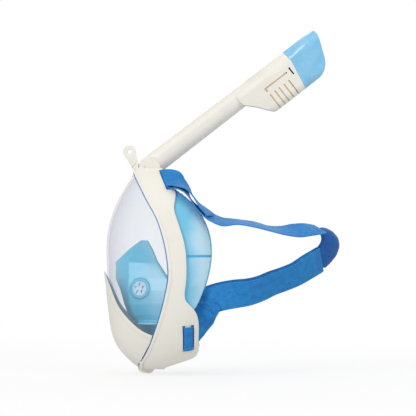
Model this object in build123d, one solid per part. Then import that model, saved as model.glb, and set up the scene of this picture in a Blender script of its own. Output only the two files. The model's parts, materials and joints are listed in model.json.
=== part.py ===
from build123d import *

import os
from math import cos, radians, sin

os.makedirs("parts", exist_ok=True)

# ---------------------------------------------------------------------------
# Driving dimensions, in millimetres and degrees.
# X is lateral with the wearer's left at +X, the visor faces -Y, +Z is up, and
# the origin is the middle of the face opening on the plane of symmetry.
# ---------------------------------------------------------------------------
MASK_HEIGHT = 239.0  # frame, top lip to chin nub
MASK_WIDTH = 174.0  # visor shell at its widest
MASK_DEPTH = 111.0  # chin cover to the frame's rear lugs
FRAME_WALL = 2.6
LENS_WALL = 2.5
GASKET_WALL = 0.9
COVER_WALL = 2.6
SKIRT_WALL = 2.2
LIP_DEPTH = 13.0  # inward turn of the skirt's face seal
POCKET_WALL = 2.2
RIM_HEIGHT = 0.7  # raised bead along the frame's front edge and the cover's top
RIM_WIDTH = 3.4
ASSEMBLY_GAP = 0.05

TUBE_TILT = 37.7  # snorkel above the horizontal, at rest
TUBE_LENGTH = 134.0  # hinge axis to the head's flare
TUBE_WIDTH = 40.0
TUBE_DEPTH = 25.2
TUBE_WALL = 1.8
TUBE_TAPER_WIDTH = 3.0  # narrowing from the hinge to the head
TUBE_TAPER_DEPTH = 2.35
TUBE_SAG = 0.62  # drop of the tube's middle line at the head
CHANNEL_WALL = 1.2
CHANNEL_AT = 8.0  # each inner wall's distance from the middle
HEAD_WIDTH = 42.0
HEAD_HEIGHT = 50.1
HEAD_DROP = 38.8  # underside of the head below the tube's axis
HEAD_WALL = 1.8
HEAD_TOP_ROUND = 16.0
HEAD_LOW_ROUND = 8.0
LOUVRE_WIDTH = 1.7
LOUVRES = (162.6, 169.5, 175.5, 182.5, 189.5)  # along the tube from the hinge

BARREL_RADIUS = 12.6
BARREL_WALL = 2.0
CRADLE_GAP = 0.45
DRUM_RADIUS = 8.6
DRUM_WALL = 1.8
STALK_DEPTH = 8.0
STALK_WIDTH = 22.0
STUB_RADIUS = 3.0
RUNNING_GAP = 0.04
CAP_DOME = 1.3  # how far a pivot cap stands out of the barrel

STRAP_WIDTH = 30.0
STRAP_THICK = 1.7

EYE_RADIUS = 7.6
EYE_BORE = 2.6
FINGER_THICK = 2.9
FINGER_GAP = 3.1

FLOAT_TRAVEL = 6.5  # from the float's rest to its seat
FLAP_TRAVEL = 1.2  # room for a flap to bend below its seat
SEAT_RADIUS = 8.5  # inhale valve seats
PURGE_RADIUS = 12.5
BEYOND = 6.0  # how far a cutting shape passes what it cuts

# Ratios that carry the outlines below with the overall sizes.
KH = MASK_HEIGHT / 239.0
KW = MASK_WIDTH / 174.0
KD = MASK_DEPTH / 111.0
REACH = 1.2 * MASK_WIDTH


def yz(y, z):
    """A side-view point, carried with the mask's depth and height."""
    return (y * KD, z * KH)


def outline(points, dy=0.0, dz=0.0):
    """Side-view points as they stand in the model, shifted if asked."""
    return [(y * KD + dy, z * KH + dz) for y, z in points]


# Horizontal sections of the visor shell: height, half width, and the depths
# of its front, its widest point and its rear.
SECTIONS = [
    (104, 17, -68, -50, -26),
    (96, 25.5, -71.5, -48, -12),
    (85, 38.5, -78, -44, 4),
    (70, 54, -87, -38.5, 20),
    (52, 68, -95, -32.5, 32.5),
    (32, 78, -101, -27.5, 41.5),
    (10, 84, -103.5, -24.5, 47),
    (-14, 87, -103, -23, 48.5),
    (-38, 87, -101.5, -22, 48),
    (-62, 84, -99, -21.5, 45.5),
    (-84, 78.5, -96, -22, 41.5),
    (-102, 71.5, -90.5, -25.5, 35),
    (-115, 64, -81.5, -31, 27),
    (-123, 53, -70.5, -37, 16),
    (-128, 38, -60, -42, 4),
]
FRONT_FULLNESS = 0.62
REAR_FULLNESS = 0.5523

# Side-view outlines, as depth and height.
FRAME_FRONT = [
    (-73.7, 101.3), (-70, 93), (-62.5, 78), (-53.5, 61), (-44, 44), (-38, 27.5), (-34, 12),
    (-31, -6), (-30, -22), (-33, -42), (-38, -63), (-44, -82.5), (-52, -104), (-58, -116),
    (-64, -125),
]
FRAME_REAR = [
    (5, -108.5), (4.5, -90), (4, -74), (1.5, -65.5), (-4.5, -57.5), (-10.5, -50.5),
    (-11.5, -42), (-10, -30), (-9.5, -15), (-10, 0), (-12, 14), (-16.5, 30), (-21.5, 45),
    (-24, 56), (-22.5, 66), (-22.5, 74), (-26.5, 82), (-32.5, 90), (-37.5, 98),
]
FRAME_BOTTOM = [(-64, -125), (-64, -142), (-40, -142), (-34, -129.5)]
FRAME_HEEL = [(-34, -129.5), (-27, -127), (-3.5, -119), (2, -115.5), (5, -108.5)]
COVER_TOP = [
    (-107.5, -16), (-105.5, -20), (-96, -41), (-88, -58.5), (-76, -73.5), (-62, -85.5),
    (-47.5, -92), (-36, -95),
]
SKIRT_REAR = [
    (-32, 84), (-24, 78), (-14, 70), (-2, 59.5), (6.5, 47.5), (13.5, 33), (17, 20), (18.5, 8),
    (18, -6), (15.5, -20), (11.5, -34.5), (6.5, -48.5), (1.5, -58.5), (-7, -68.5), (-15.5, -78),
    (-20.5, -90), (-25, -101), (-31, -112), (-38, -121), (-45, -129),
]

# Nose and mouth pocket: height, depth and half width of the front face, of the
# facet edge behind it, and of the open rear edge.
POCKET = [
    (17.5, -63.0, 2.0, -60.0, 4.0, -55.5, 7.0),
    (7.0, -77.0, 4.5, -71.0, 10.0, -49.5, 16.0),
    (-8.0, -92.5, 8.0, -77.9, 18.0, -43.5, 28.0),
    (-27.0, -92.5, 11.0, -77.9, 25.0, -31.5, 41.0),
    (-40.0, -87.2, 13.0, -77.9, 28.0, -26.0, 46.0),
    (-57.0, -82.3, 16.0, -75.5, 30.0, -22.0, 50.0),
    (-69.0, -78.0, 18.0, -72.5, 30.0, -21.0, 50.0),
    (-79.0, -69.0, 18.0, -65.0, 28.0, -22.0, 46.0),
]


# ---------------------------------------------------------------------------
# Shape helpers
# ---------------------------------------------------------------------------
def section(height, half, front, widest, rear, grow):
    """One closed horizontal section of the shell, grown outwards."""
    a = half * KW + grow
    yf = front * KD - grow
    yw = widest * KD
    yr = rear * KD + grow
    z = height * KH
    if height > 90:
        z += grow
    if height < -120:
        z -= grow
    kf = FRONT_FULLNESS
    kr = REAR_FULLNESS
    bf = yw - yf
    br = yr - yw
    return Wire([
        Bezier((0, yf, z), (kf * a, yf, z), (a, yw - kf * bf, z), (a, yw, z)),
        Bezier((a, yw, z), (a, yw + kr * br, z), (kr * a, yr, z), (0, yr, z)),
        Bezier((0, yr, z), (-kr * a, yr, z), (-a, yw + kr * br, z), (-a, yw, z)),
        Bezier((-a, yw, z), (-a, yw - kf * bf, z), (-kf * a, yf, z), (0, yf, z)),
    ])


def body(grow):
    """The whole visor form as a solid, grown outwards."""
    return Solid.make_loft([section(*row, grow) for row in SECTIONS])


def smooth(points):
    """A spline edge through side-view points."""
    return Spline(*[(0, y, z) for y, z in points]).edges()


def straight(points):
    """Straight edges through side-view points."""
    return Polyline(*[(0, y, z) for y, z in points]).edges()


def side_prism(*runs):
    """A prism through the whole width over a side-view outline."""
    edges = []
    for run in runs:
        edges += list(run)
    face = Face(Wire(edges))
    return extrude(face, amount=REACH, dir=(1, 0, 0), both=True)


def plate(points, low, high):
    """A side-view polygon extruded between two lateral stations."""
    face = Face(Wire(straight(points + [points[0]])))
    return extrude(face, amount=high - low, dir=(1, 0, 0)).moved(Location((low, 0, 0)))


def biggest(shape):
    """The largest solid of a result, without slivers."""
    return max(shape.solids(), key=lambda item: item.volume)


def block(low, high):
    """An axis-aligned box between two corners."""
    size = [b - a for a, b in zip(low, high)]
    middle = [(a + b) / 2 for a, b in zip(low, high)]
    return Pos(*middle) * Box(*size)


def across_x(radius, low, high, y, z):
    """A cylinder along X between two stations."""
    return Pos((low + high) / 2, y, z) * Rot(0, 90, 0) * Cylinder(radius, high - low)


def mirrored(shape):
    """The same piece on the wearer's other side."""
    return mirror(shape, about=Plane.YZ)


def wall_x(form, y, z):
    """Half width of a form at a depth and height."""
    ray = Edge.make_line((0, y, z), (REACH, y, z))
    inside = ray.intersect(form)
    return max(v.X for piece in inside for v in piece.vertices())


def ribbon(stations, width, thick):
    """A flat band lofted through stations of position and width direction."""
    faces = []
    last = len(stations) - 1
    for i, station in enumerate(stations):
        here = Vector(*station[:3])
        before = Vector(*stations[max(i - 1, 0)][:3])
        after = Vector(*stations[min(i + 1, last)][:3])
        tangent = (after - before).normalized()
        across = Vector(*station[3:]).normalized()
        normal = tangent.cross(across).normalized()
        plane = Plane(origin=here, x_dir=across, z_dir=across.cross(normal))
        faces.append(plane * Rectangle(width, thick))
    return loft(faces)


# ---------------------------------------------------------------------------
# Reference points and planes
# ---------------------------------------------------------------------------
PIVOT = yz(-52.7, 103)
TILT = radians(TUBE_TILT)
ALONG = Vector(0, cos(TILT), sin(TILT))
TUBE_PLANE = Plane(origin=(0, *PIVOT), x_dir=(-1, 0, 0), z_dir=ALONG)
CRADLE_RADIUS = BARREL_RADIUS + CRADLE_GAP
BARREL_HALF = TUBE_WIDTH / 2
CRADLE_HALF = BARREL_HALF + CAP_DOME + 0.6
BORE_RADIUS = BARREL_RADIUS - BARREL_WALL


def on_tube(shape):
    """Carry a piece from the tube's own frame, Z along it and Y above it."""
    return TUBE_PLANE.location * shape


def tube_plate(points, half):
    """A polygon of (along, above) points, extruded both ways across the tube."""
    edges = Polyline(*[(0, n, s) for s, n in points], close=True).edges()
    return extrude(Face(Wire(edges)), amount=half, dir=(1, 0, 0), both=True)


# ---------------------------------------------------------------------------
# Mask shell
# ---------------------------------------------------------------------------
FAR = -1.6 * MASK_DEPTH
SKY = MASK_HEIGHT
form_skin = body(0)
front_line = outline(FRAME_FRONT)


def front_region(shift, top, low):
    """Everything in front of the frame's front edge, between two heights."""
    run = outline(FRAME_FRONT, dy=shift)
    first, last = run[0], run[-1]
    around = [last, (last[0], -SKY), (FAR, -SKY), (FAR, SKY), (first[0], SKY), first]
    whole = side_prism(smooth(run), straight(around))
    return whole & block((-REACH, FAR, low), (REACH, MASK_DEPTH, top))


def frame_side_behind(shift):
    """Everything behind the frame's front edge, by more than a shift."""
    run = outline(FRAME_FRONT, dy=shift)
    first, last = run[0], run[-1]
    around = [last, (last[0], -SKY), (MASK_DEPTH, -SKY), (MASK_DEPTH, SKY), (first[0], SKY), first]
    return side_prism(smooth(run), straight(around))


def cover_region(shift):
    """Everything below the chin cover's upper edge, moved by a shift."""
    run = outline(COVER_TOP, dy=shift, dz=shift)
    first, last = run[0], run[-1]
    around = [last, (MASK_DEPTH, last[1]), (MASK_DEPTH, -SKY), (FAR, -SKY), (FAR, first[1]), first]
    return side_prism(smooth(run), straight(around))


# Lens: a clear bulging shell, its edge held under the frame and the cover.
lens = (form_skin - body(-LENS_WALL)) & front_region(6.0, 97 * KH, -SKY)
lens = biggest(lens - cover_region(-6.0))

# Gasket: a thin band between the lens and the frame.
gasket = body(ASSEMBLY_GAP + GASKET_WALL) - body(ASSEMBLY_GAP)
gasket = gasket & front_region(5.0, 96 * KH, -123 * KH)
gasket = biggest(gasket - front_region(-1.3, SKY, -SKY))

# Chin cover: the lower front shell, with drain slots under the purge valve.
cover_inner = 0.15
chin_cover = (body(cover_inner + COVER_WALL) - body(cover_inner)) & front_region(-1.7, SKY, -SKY)
cover_rim = body(cover_inner + COVER_WALL + RIM_HEIGHT) - body(cover_inner + 0.5 * COVER_WALL)
cover_rim = (cover_rim & front_region(-1.7, SKY, -SKY)) - cover_region(-RIM_WIDTH)
chin_cover = biggest((chin_cover + cover_rim) & cover_region(0))
DRAIN_SLOTS = (-12, -6, 0, 6, 12)
DRAIN_WIDTH = 2.4
for x in DRAIN_SLOTS:
    slot_low = (x - DRAIN_WIDTH / 2, -86 * KD, -140 * KH)
    slot_high = (x + DRAIN_WIDTH / 2, -70 * KD, -104 * KH)
    chin_cover = chin_cover - block(slot_low, slot_high)
nub_room = block((-15.3, -67.4 * KD, -140 * KH), (15.3, -40 * KD, -123.6 * KH))
chin_cover = biggest(chin_cover - nub_room)

# Face skirt: the soft shell behind the lens, turned in around the face.
skirt_front = outline(FRAME_FRONT, dy=6.4)
skirt_rear = outline(SKIRT_REAR)
skirt_low = [skirt_front[-1], (skirt_front[-1][0], -135 * KH), (-44 * KD, -135 * KH), skirt_rear[-1]]
skirt_high = [skirt_rear[0], (-40 * KD, 88 * KH), skirt_front[0]]
skirt_side = side_prism(
    smooth(skirt_front), straight(skirt_low), smooth(skirt_rear), straight(skirt_high)
)
skirt_side = skirt_side & block((-REACH, FAR, -SKY), (REACH, MASK_DEPTH, 86.8 * KH))
skirt_shell = (form_skin - body(-SKIRT_WALL)) & skirt_side
lip_front = outline(SKIRT_REAR, dy=-2.4)
lip_band = side_prism(
    smooth(skirt_rear),
    straight([skirt_rear[-1], lip_front[-1]]),
    smooth(lip_front),
    straight([lip_front[0], skirt_rear[0]]),
)
lip = (body(-0.4) - body(-LIP_DEPTH)) & lip_band
rib = (body(-SKIRT_WALL / 2) - body(-SKIRT_WALL - 1.6)) & skirt_side
rib = rib & block((-REACH, -9 * KD, -1.2 * KH), (REACH, 15.6 * KD, 0.6 * KH))
face_skirt = biggest(skirt_shell + lip + rib)

# Frame: the hard ring, with the hinge block on top and the chin nub below.
frame_inner = ASSEMBLY_GAP * 2 + GASKET_WALL
frame_outer = frame_inner + FRAME_WALL
form_frame = body(frame_outer)
frame_side = side_prism(
    smooth(front_line),
    straight(outline(FRAME_BOTTOM)),
    straight(outline(FRAME_HEEL)),
    smooth(outline(FRAME_REAR)),
    straight(outline([FRAME_REAR[-1], (-38, 101.3), FRAME_FRONT[0]])),
)
ring = (form_frame - body(frame_inner)) & frame_side

# A raised bead follows the frame's front edge.
bead = body(frame_outer + RIM_HEIGHT) - body(frame_outer - 0.5 * FRAME_WALL)
bead = (bead & frame_side) - frame_side_behind(RIM_WIDTH)

block_points = outline([
    (-73.7, 101.3), (-67.3, 108.8), (-59, 108.8), (-59, 99.5), (-37.4, 99.5), (-37.2, 97),
    (-33.2, 90.8), (-36, 87.0), (-67.0, 87.0),
])
BLOCK_HALF = TUBE_WIDTH / 2 + 2.6
head_block = form_frame & plate(block_points, -BLOCK_HALF, BLOCK_HALF)
head_block = head_block - (body(frame_inner) & front_region(6.4, SKY, -SKY))

nub_side = [
    (-64.1, -124), (-67, -128.8), (-66.4, -133.4), (-63.6, -136), (-60.5, -136.9), (-53, -137.8),
    (-50, -136.6), (-47.4, -133.2), (-40, -131.4), (-44, -126),
]
nub = plate(outline(nub_side), -15.0, 15.0) - body(frame_inner)

main_frame = biggest(ring + bead + head_block + nub)

# ---------------------------------------------------------------------------
# Fold hinge in the frame's top block
# ---------------------------------------------------------------------------
PY, PZ = PIVOT
cradle = across_x(CRADLE_RADIUS, -CRADLE_HALF, CRADLE_HALF, PY, PZ)
SWEPT_UP, SWEPT_BACK = 20.0, 40.0  # reach of the space that the tube's foot turns in
swept = plate(
    [
        (PY - CRADLE_RADIUS, PZ + SWEPT_UP), (PY - CRADLE_RADIUS, PZ), (PY, PZ - CRADLE_RADIUS),
        (PY + SWEPT_BACK, PZ - CRADLE_RADIUS), (PY + SWEPT_BACK, PZ + SWEPT_UP),
    ],
    -CRADLE_HALF, CRADLE_HALF,
)
stalk_low = 84.0 * KH
hole_width = STALK_WIDTH / 2 + ASSEMBLY_GAP
hole_depth = STALK_DEPTH / 2 + ASSEMBLY_GAP
stalk_hole = block((-hole_width, PY - hole_depth, stalk_low - 20), (hole_width, PY + hole_depth, PZ))
main_frame = main_frame - cradle - swept - stalk_hole

# Drum: the fixed hollow core of the hinge, with its stalk down into the mask.
DRUM_HALF = BARREL_HALF - 5.0  # leaves room for the pivot caps' plugs
STALK_WALL = 1.5
drum = across_x(DRUM_RADIUS, -DRUM_HALF, DRUM_HALF, PY, PZ)
stalk = block(
    (-STALK_WIDTH / 2, PY - STALK_DEPTH / 2, stalk_low),
    (STALK_WIDTH / 2, PY + STALK_DEPTH / 2, PZ),
)
stub_end = BARREL_HALF - 1.6
stubs = across_x(STUB_RADIUS, -stub_end, stub_end, PY, PZ)
drum = drum + stalk + stubs
hollow_half = DRUM_HALF - DRUM_WALL
drum_hollow = across_x(DRUM_RADIUS - DRUM_WALL, -hollow_half, hollow_half, PY, PZ)
stalk_bore = block(
    (-STALK_WIDTH / 2 + STALK_WALL, PY - STALK_DEPTH / 2 + STALK_WALL, stalk_low - 1),
    (STALK_WIDTH / 2 - STALK_WALL, PY + STALK_DEPTH / 2 - STALK_WALL, PZ),
)
drum_window = plate(
    [(PY, PZ), (PY + 22, PZ - 4), (PY + 22, PZ + 22), (PY - 8, PZ + 22)],
    -DRUM_HALF + 2.5, DRUM_HALF - 2.5,
)
pivot_drum = biggest(drum - drum_hollow - stalk_bore - drum_window)

# Seals: two rings between the drum and the barrel's bore.
SEAL_RADIUS = (BORE_RADIUS - DRUM_RADIUS) / 2 - 0.1
seal_at = DRUM_HALF - 1.2
pivot_seal_left = Pos(seal_at, PY, PZ) * Rot(0, 90, 0) * Torus(
    (BORE_RADIUS + DRUM_RADIUS) / 2, SEAL_RADIUS
)
pivot_seal_right = mirrored(pivot_seal_left)

# Caps: domed ends of the barrel that turn on the drum's stubs.
cap_plug = across_x(BORE_RADIUS - ASSEMBLY_GAP, BARREL_HALF - 3.0, BARREL_HALF, PY, PZ)
cap_dome = across_x(BARREL_RADIUS - 0.3, BARREL_HALF, BARREL_HALF + CAP_DOME, PY, PZ)
cap_dome = fillet(cap_dome.edges().filter_by(GeomType.CIRCLE).sort_by(Axis.X)[-1:], CAP_DOME - 0.1)
pivot_cap_left = cap_plug + cap_dome
pivot_cap_left = pivot_cap_left - across_x(
    STUB_RADIUS + RUNNING_GAP, BARREL_HALF - 3.5, stub_end + 0.4, PY, PZ
)
pivot_cap_left = biggest(pivot_cap_left)
pivot_cap_right = mirrored(pivot_cap_left)

# ---------------------------------------------------------------------------
# Snorkel tube: a barrel at its foot and a tapered oval duct in three channels
# ---------------------------------------------------------------------------
HEAD_TUBE_WIDTH = TUBE_WIDTH - TUBE_TAPER_WIDTH
HEAD_TUBE_DEPTH = TUBE_DEPTH - TUBE_TAPER_DEPTH
IN_HEAD = 16.0  # length of the tube's end inside the head
tube_top = TUBE_LENGTH + IN_HEAD


def oval(width, depth, above, inset):
    """One rounded section of the tube."""
    w = width - 2 * inset
    d = depth - 2 * inset
    return Pos(0, above, 0) * RectangleRounded(w, d, 0.46 * d)


def tube_form(inset):
    """The tapered form of the tube from the hinge to its end in the head."""
    foot = oval(TUBE_WIDTH, TUBE_DEPTH, 0, inset)
    end = oval(HEAD_TUBE_WIDTH, HEAD_TUBE_DEPTH, -TUBE_SAG, inset)
    return loft([foot, Pos(0, 0, tube_top) * end])


tube_inner = tube_form(TUBE_WALL)
barrel = Rot(0, 90, 0) * Cylinder(BARREL_RADIUS, 2 * BARREL_HALF)
barrel_bore = Rot(0, 90, 0) * Cylinder(BORE_RADIUS, 2 * BARREL_HALF + 1)
WALL_START = 16.0
walls = Box(CHANNEL_WALL, TUBE_DEPTH * 2, tube_top - WALL_START)
walls = walls.moved(Location((0, 0, (tube_top + WALL_START) / 2)))
walls = (Pos(CHANNEL_AT, 0, 0) * walls + Pos(-CHANNEL_AT, 0, 0) * walls) & tube_inner
tube = (tube_form(0) + barrel) - tube_inner - barrel_bore + walls


# Angles the fixed stalk sweeps out of the barrel, measured from the tube.
SWEEP_LOW, SWEEP_HIGH = -205.0, -72.0


def wedge(start, stop, radius, half):
    """A pie slice about the hinge, by angles from the tube's direction."""
    steps = 8
    points = [(0.0, 0.0)]
    for i in range(steps + 1):
        angle = radians(start + (stop - start) * i / steps)
        points.append((radius * cos(angle), radius * sin(angle)))
    return tube_plate(points, half)


sweep_cut = wedge(SWEEP_LOW, SWEEP_HIGH, BARREL_RADIUS + 6, STALK_WIDTH / 2 + 0.8)
snorkel_tube = biggest(on_tube(tube - sweep_cut))

# ---------------------------------------------------------------------------
# Valve head: housing, float valve and cap, drawn as distances along the tube
# from the hinge and above the tube's axis
# ---------------------------------------------------------------------------
HEAD_SHIFT = TUBE_LENGTH - 134.0
HALF = HEAD_WIDTH / 2
TOP = HEAD_HEIGHT - HEAD_DROP
LOW = -HEAD_DROP
OVER, UNDER = TOP + BEYOND, LOW - BEYOND
PLATE = 190.0 + HEAD_SHIFT
HEAD_REACH = 300.0
LEAST_ROUND = 2.0


def head_line(*points):
    """Side points of the head, carried with the tube's length."""
    return [(s + HEAD_SHIFT, n) for s, n in points]


def head_box(low, high):
    """A box along the head, carried with the tube's length."""
    return Pos(0, 0, HEAD_SHIFT) * block(low, high)


def head_form(profile, inset):
    """A side profile along the tube, rounded as the head is in section."""
    shape = tube_plate(profile, HALF + BEYOND)
    bar = Box(HEAD_WIDTH - 2 * inset, TOP - LOW - 2 * inset, HEAD_REACH)
    bar = bar.moved(Location((0, (TOP + LOW) / 2, HEAD_REACH / 2 + HEAD_SHIFT)))
    upper = bar.edges().filter_by(Axis.Z).sort_by(Axis.Y)[2:]
    bar = fillet(upper, max(HEAD_TOP_ROUND - inset, LEAST_ROUND))
    lower = bar.edges().filter_by(Axis.Z).sort_by(Axis.Y)[:2]
    bar = fillet(lower, max(HEAD_LOW_ROUND - inset, LEAST_ROUND))
    return shape & bar


# Housing: the flared shell under the cap, opened on top for the tube.
seam_top, seam_mid, seam_low = head_line((203.6, OVER), (205.6, -4), (198.3, UNDER))
housing_profile = head_line(
    (130, OVER), (130, -9.0), (133, -12.2), (139, -18.3), (145, -25), (150, -32), (155, -37.6),
    (158, LOW), (161, UNDER),
) + [seam_low, seam_mid, seam_top]
shoulder = head_line((120, OVER), (120, 9.0), (143, 9.4), (149, TOP + 0.1), (152, OVER))
shoulder_cut = tube_plate(shoulder, HALF + BEYOND)
inner_profile = head_line(
    (137, OVER), (137, -9.0), (141, -17.0), (146.5, -23.8), (151.5, -30.6), (156.5, -36.0),
    (161, LOW + HEAD_WALL), (161, UNDER), (230, UNDER), (230, OVER),
)
housing = head_form(housing_profile, 0) - shoulder_cut
housing = housing - (head_form(inner_profile, HEAD_WALL) - shoulder_cut)

# Divider: parts the float chamber from the inhale channel.
DIVIDER, DIVIDER_WALL = -9.4, 1.2
BACKING_LOW, BACKING_BACK, BACKING_AHEAD = -12.0, 1.4, 1.3
WALL_BITE = 0.6  # how far an inner wall stops short of the shell's outer face
inner_half = HALF - WALL_BITE
divider_top = DIVIDER + DIVIDER_WALL
divider = block((-inner_half, DIVIDER, tube_top + 0.1), (inner_half, divider_top, PLATE - 1.0))
backing = block(
    (-inner_half, BACKING_LOW, tube_top - BACKING_BACK), (inner_half, divider_top, tube_top + BACKING_AHEAD)
)
tube_seat = tube_form(-ASSEMBLY_GAP)
within = head_form(housing_profile, 0.5)
housing = (housing + (divider & within)) - tube_seat
housing = housing + ((backing & within) - tube_seat)

# Long hooked slot, latch window and five louvres, on both sides.
SLOT_FLOOR, LOUVRE_FLOOR = 14.0, 11.0  # each cut's end, out from the middle
side_end = HALF + BEYOND
side_cuts = head_box((SLOT_FLOOR, -11.5, 161), (side_end, -9.8, 193.4))
side_cuts += head_box((SLOT_FLOOR, -14.8, 161), (side_end, -9.8, 163.2))
side_cuts += head_box((SLOT_FLOOR, -17.4, 197.4), (side_end, -7.6, 199.5))
for s in LOUVRES:
    side_cuts += head_box((LOUVRE_FLOOR, UNDER, s - LOUVRE_WIDTH / 2), (side_end, -19, s + LOUVRE_WIDTH / 2))
valve_housing = biggest(on_tube(housing - side_cuts - mirrored(side_cuts)))

# Seat plate: closes the float chamber, with the port the float shuts.
PLATE_THICK = 2.2
PORT_AT, PORT_WIDTH, PORT_HEIGHT, PORT_ROUND = -24.0, 20.0, 13.0, 5.0
plate_profile = [
    (PLATE, OVER), (PLATE, UNDER), (PLATE + PLATE_THICK, UNDER), (PLATE + PLATE_THICK, OVER)
]
seat_plate = head_form(plate_profile, HEAD_WALL + ASSEMBLY_GAP)
channel_window = block((-14, DIVIDER + 2.4, PLATE - BEYOND), (14, 6.8, PLATE + BEYOND))
port = RectangleRounded(PORT_WIDTH, PORT_HEIGHT, PORT_ROUND)
port = extrude(Pos(0, PORT_AT, PLATE - BEYOND) * port, amount=2 * BEYOND)
float_seat_plate = biggest(on_tube(seat_plate - channel_window - port))

# Float: a block that rises along the chamber and shuts the port with its pad.
FLOAT_HALF, FLOAT_WALL = 15.5, 3.0
FLOAT_NEAR, FLOAT_FAR = -12.2, -34.0
FLOAT_LOW, FLOAT_TOP = 161.5 + HEAD_SHIFT, 181.6 + HEAD_SHIFT
PAD_MARGIN_WIDTH, PAD_MARGIN_HEIGHT = 5.0, 4.0
float_form = block((-FLOAT_HALF, FLOAT_FAR, FLOAT_LOW), (FLOAT_HALF, FLOAT_NEAR, FLOAT_TOP))
float_form = fillet(float_form.edges().filter_by(Axis.Z), 4.0)
float_hollow = block(
    (-FLOAT_HALF + FLOAT_WALL, FLOAT_FAR + FLOAT_WALL, FLOAT_LOW - 1),
    (FLOAT_HALF - FLOAT_WALL, FLOAT_NEAR - FLOAT_WALL, FLOAT_TOP - 2),
)
float_block = on_tube(float_form - float_hollow)
pad = RectangleRounded(PORT_WIDTH + PAD_MARGIN_WIDTH, PORT_HEIGHT + PAD_MARGIN_HEIGHT, PORT_ROUND + 1)
pad_thick = PLATE - FLOAT_TRAVEL - FLOAT_TOP - 2 * ASSEMBLY_GAP
float_seal = on_tube(extrude(Pos(0, PORT_AT, FLOAT_TOP + ASSEMBLY_GAP) * pad, amount=pad_thick))

# Cap: the glossy top of the head, on a spigot with two latch tongues.
CAP_GAP = 0.08
cap_profile = [seam_top, seam_mid, seam_low] + head_line(
    (220, UNDER), (220, LOW), (224.5, -38.0), (229.2, -35.7), (233.4, -32.3), (236.6, -28.4),
    (238.8, -24.0), (243, -13.7), (247, -3.9), (248.4, 1.0), (248.9, 4.6), (248.3, 8.2),
    (246.6, 10.4), (244.6, TOP), (240, OVER),
)
cap_inner = head_line(
    (180, OVER), (180, UNDER), (219.6, UNDER), (219.6, LOW + 2), (223.6, -36.0), (228.2, -33.9),
    (231.9, -30.9), (234.8, -27.4), (241, -12.8), (245, -3.2), (246.3, 1.2), (246.7, 4.4),
    (245.6, OVER),
)
cap_shell = head_form(cap_profile, 0) - head_form(cap_inner, HEAD_WALL)
cap_shell = cap_shell.moved(Location((0, 0, CAP_GAP)))
SPIGOT, SPIGOT_WALL = 5.2, 1.5
SPIGOT_IN_CAP = 3.0
spigot_outer = [
    (seam_top[0] - SPIGOT, OVER), (seam_mid[0] - SPIGOT, -4), (seam_low[0] - SPIGOT, UNDER),
    (seam_low[0] + SPIGOT_IN_CAP, UNDER), (seam_mid[0] + SPIGOT_IN_CAP, -4),
    (seam_top[0] + SPIGOT_IN_CAP, OVER),
]
spigot = head_form(spigot_outer, HEAD_WALL + CAP_GAP) - head_form(spigot_outer, HEAD_WALL + SPIGOT_WALL)
tongue = head_box(
    (HALF - HEAD_WALL - SPIGOT_WALL, -17.2, 195.4), (HALF - HEAD_WALL - CAP_GAP, -7.8, 204)
)
head_cap = biggest(on_tube(cap_shell + spigot + tongue + mirrored(tongue)))

# ---------------------------------------------------------------------------
# Camera mount: three fingers with a cross bore, on a tongue in the frame's lip
# ---------------------------------------------------------------------------
EYE = yz(-76.6, 120.6)
SEAM_FRONT, SEAM_REAR = yz(-73.6, 101.9), yz(-67.6, 108.6)
seam_mid_y = (SEAM_FRONT[0] + SEAM_REAR[0]) / 2
seam_mid_z = (SEAM_FRONT[1] + SEAM_REAR[1]) / 2
lift = Vector(0, -0.447, 0.894)
mount_half = 1.5 * FINGER_THICK + FINGER_GAP
front_tangent = (EYE[0] - EYE_RADIUS * 0.98, EYE[1] - EYE_RADIUS * 0.2)
rear_tangent = (EYE[0] + EYE_RADIUS * 0.98, EYE[1] - EYE_RADIUS * 0.25)
gap = 0.08

# Three fingers round the eye, with two slots between them.
tab = plate(
    [
        front_tangent, (SEAM_FRONT[0] - gap, SEAM_FRONT[1] + gap),
        (SEAM_REAR[0] - gap, SEAM_REAR[1] + gap), (SEAM_REAR[0] + 1.0, SEAM_REAR[1] + 1.3),
        rear_tangent, (EYE[0], EYE[1] + 1),
    ],
    -mount_half, mount_half,
)
eye = across_x(EYE_RADIUS, -mount_half, mount_half, *EYE)
camera_mount = tab + eye
for sign in (-1, 1):
    middle = sign * (FINGER_THICK + FINGER_GAP) / 2
    finger_slot = plate(
        [
            (EYE[0] - 14, EYE[1] + 12), (EYE[0] - 14, EYE[1] - 7.5), (EYE[0] + 14, EYE[1] - 7.5),
            (EYE[0] + 14, EYE[1] + 12),
        ],
        middle - FINGER_GAP / 2, middle + FINGER_GAP / 2,
    )
    camera_mount = camera_mount - finger_slot
camera_mount = camera_mount - across_x(EYE_BORE, -mount_half - 1, mount_half + 1, *EYE)

# A tongue under the fingers slides into a pocket in the frame's lip.
foot_plane = Plane(origin=(0, seam_mid_y, seam_mid_z), x_dir=(1, 0, 0), z_dir=lift)
FOOT_THICK, FOOT_WIDTH, FOOT_DEEP = 2.2, 11.0, 6.0
foot = foot_plane.location * block(
    (-FOOT_WIDTH / 2, -FOOT_THICK / 2, -FOOT_DEEP), (FOOT_WIDTH / 2, FOOT_THICK / 2, 2.5)
)
foot_pocket = foot_plane.location * block(
    (-FOOT_WIDTH / 2 - gap, -FOOT_THICK / 2 - gap, -FOOT_DEEP - 0.3),
    (FOOT_WIDTH / 2 + gap, FOOT_THICK / 2 + gap, 8.0),
)
camera_mount = biggest(camera_mount + foot)
lip_trim = plate(
    [SEAM_FRONT, SEAM_REAR, (SEAM_REAR[0] - 12, SEAM_REAR[1] + 8), (SEAM_FRONT[0] - 12, SEAM_FRONT[1] + 8)],
    -REACH, REACH,
)
main_frame = main_frame - foot_pocket - lip_trim

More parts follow.
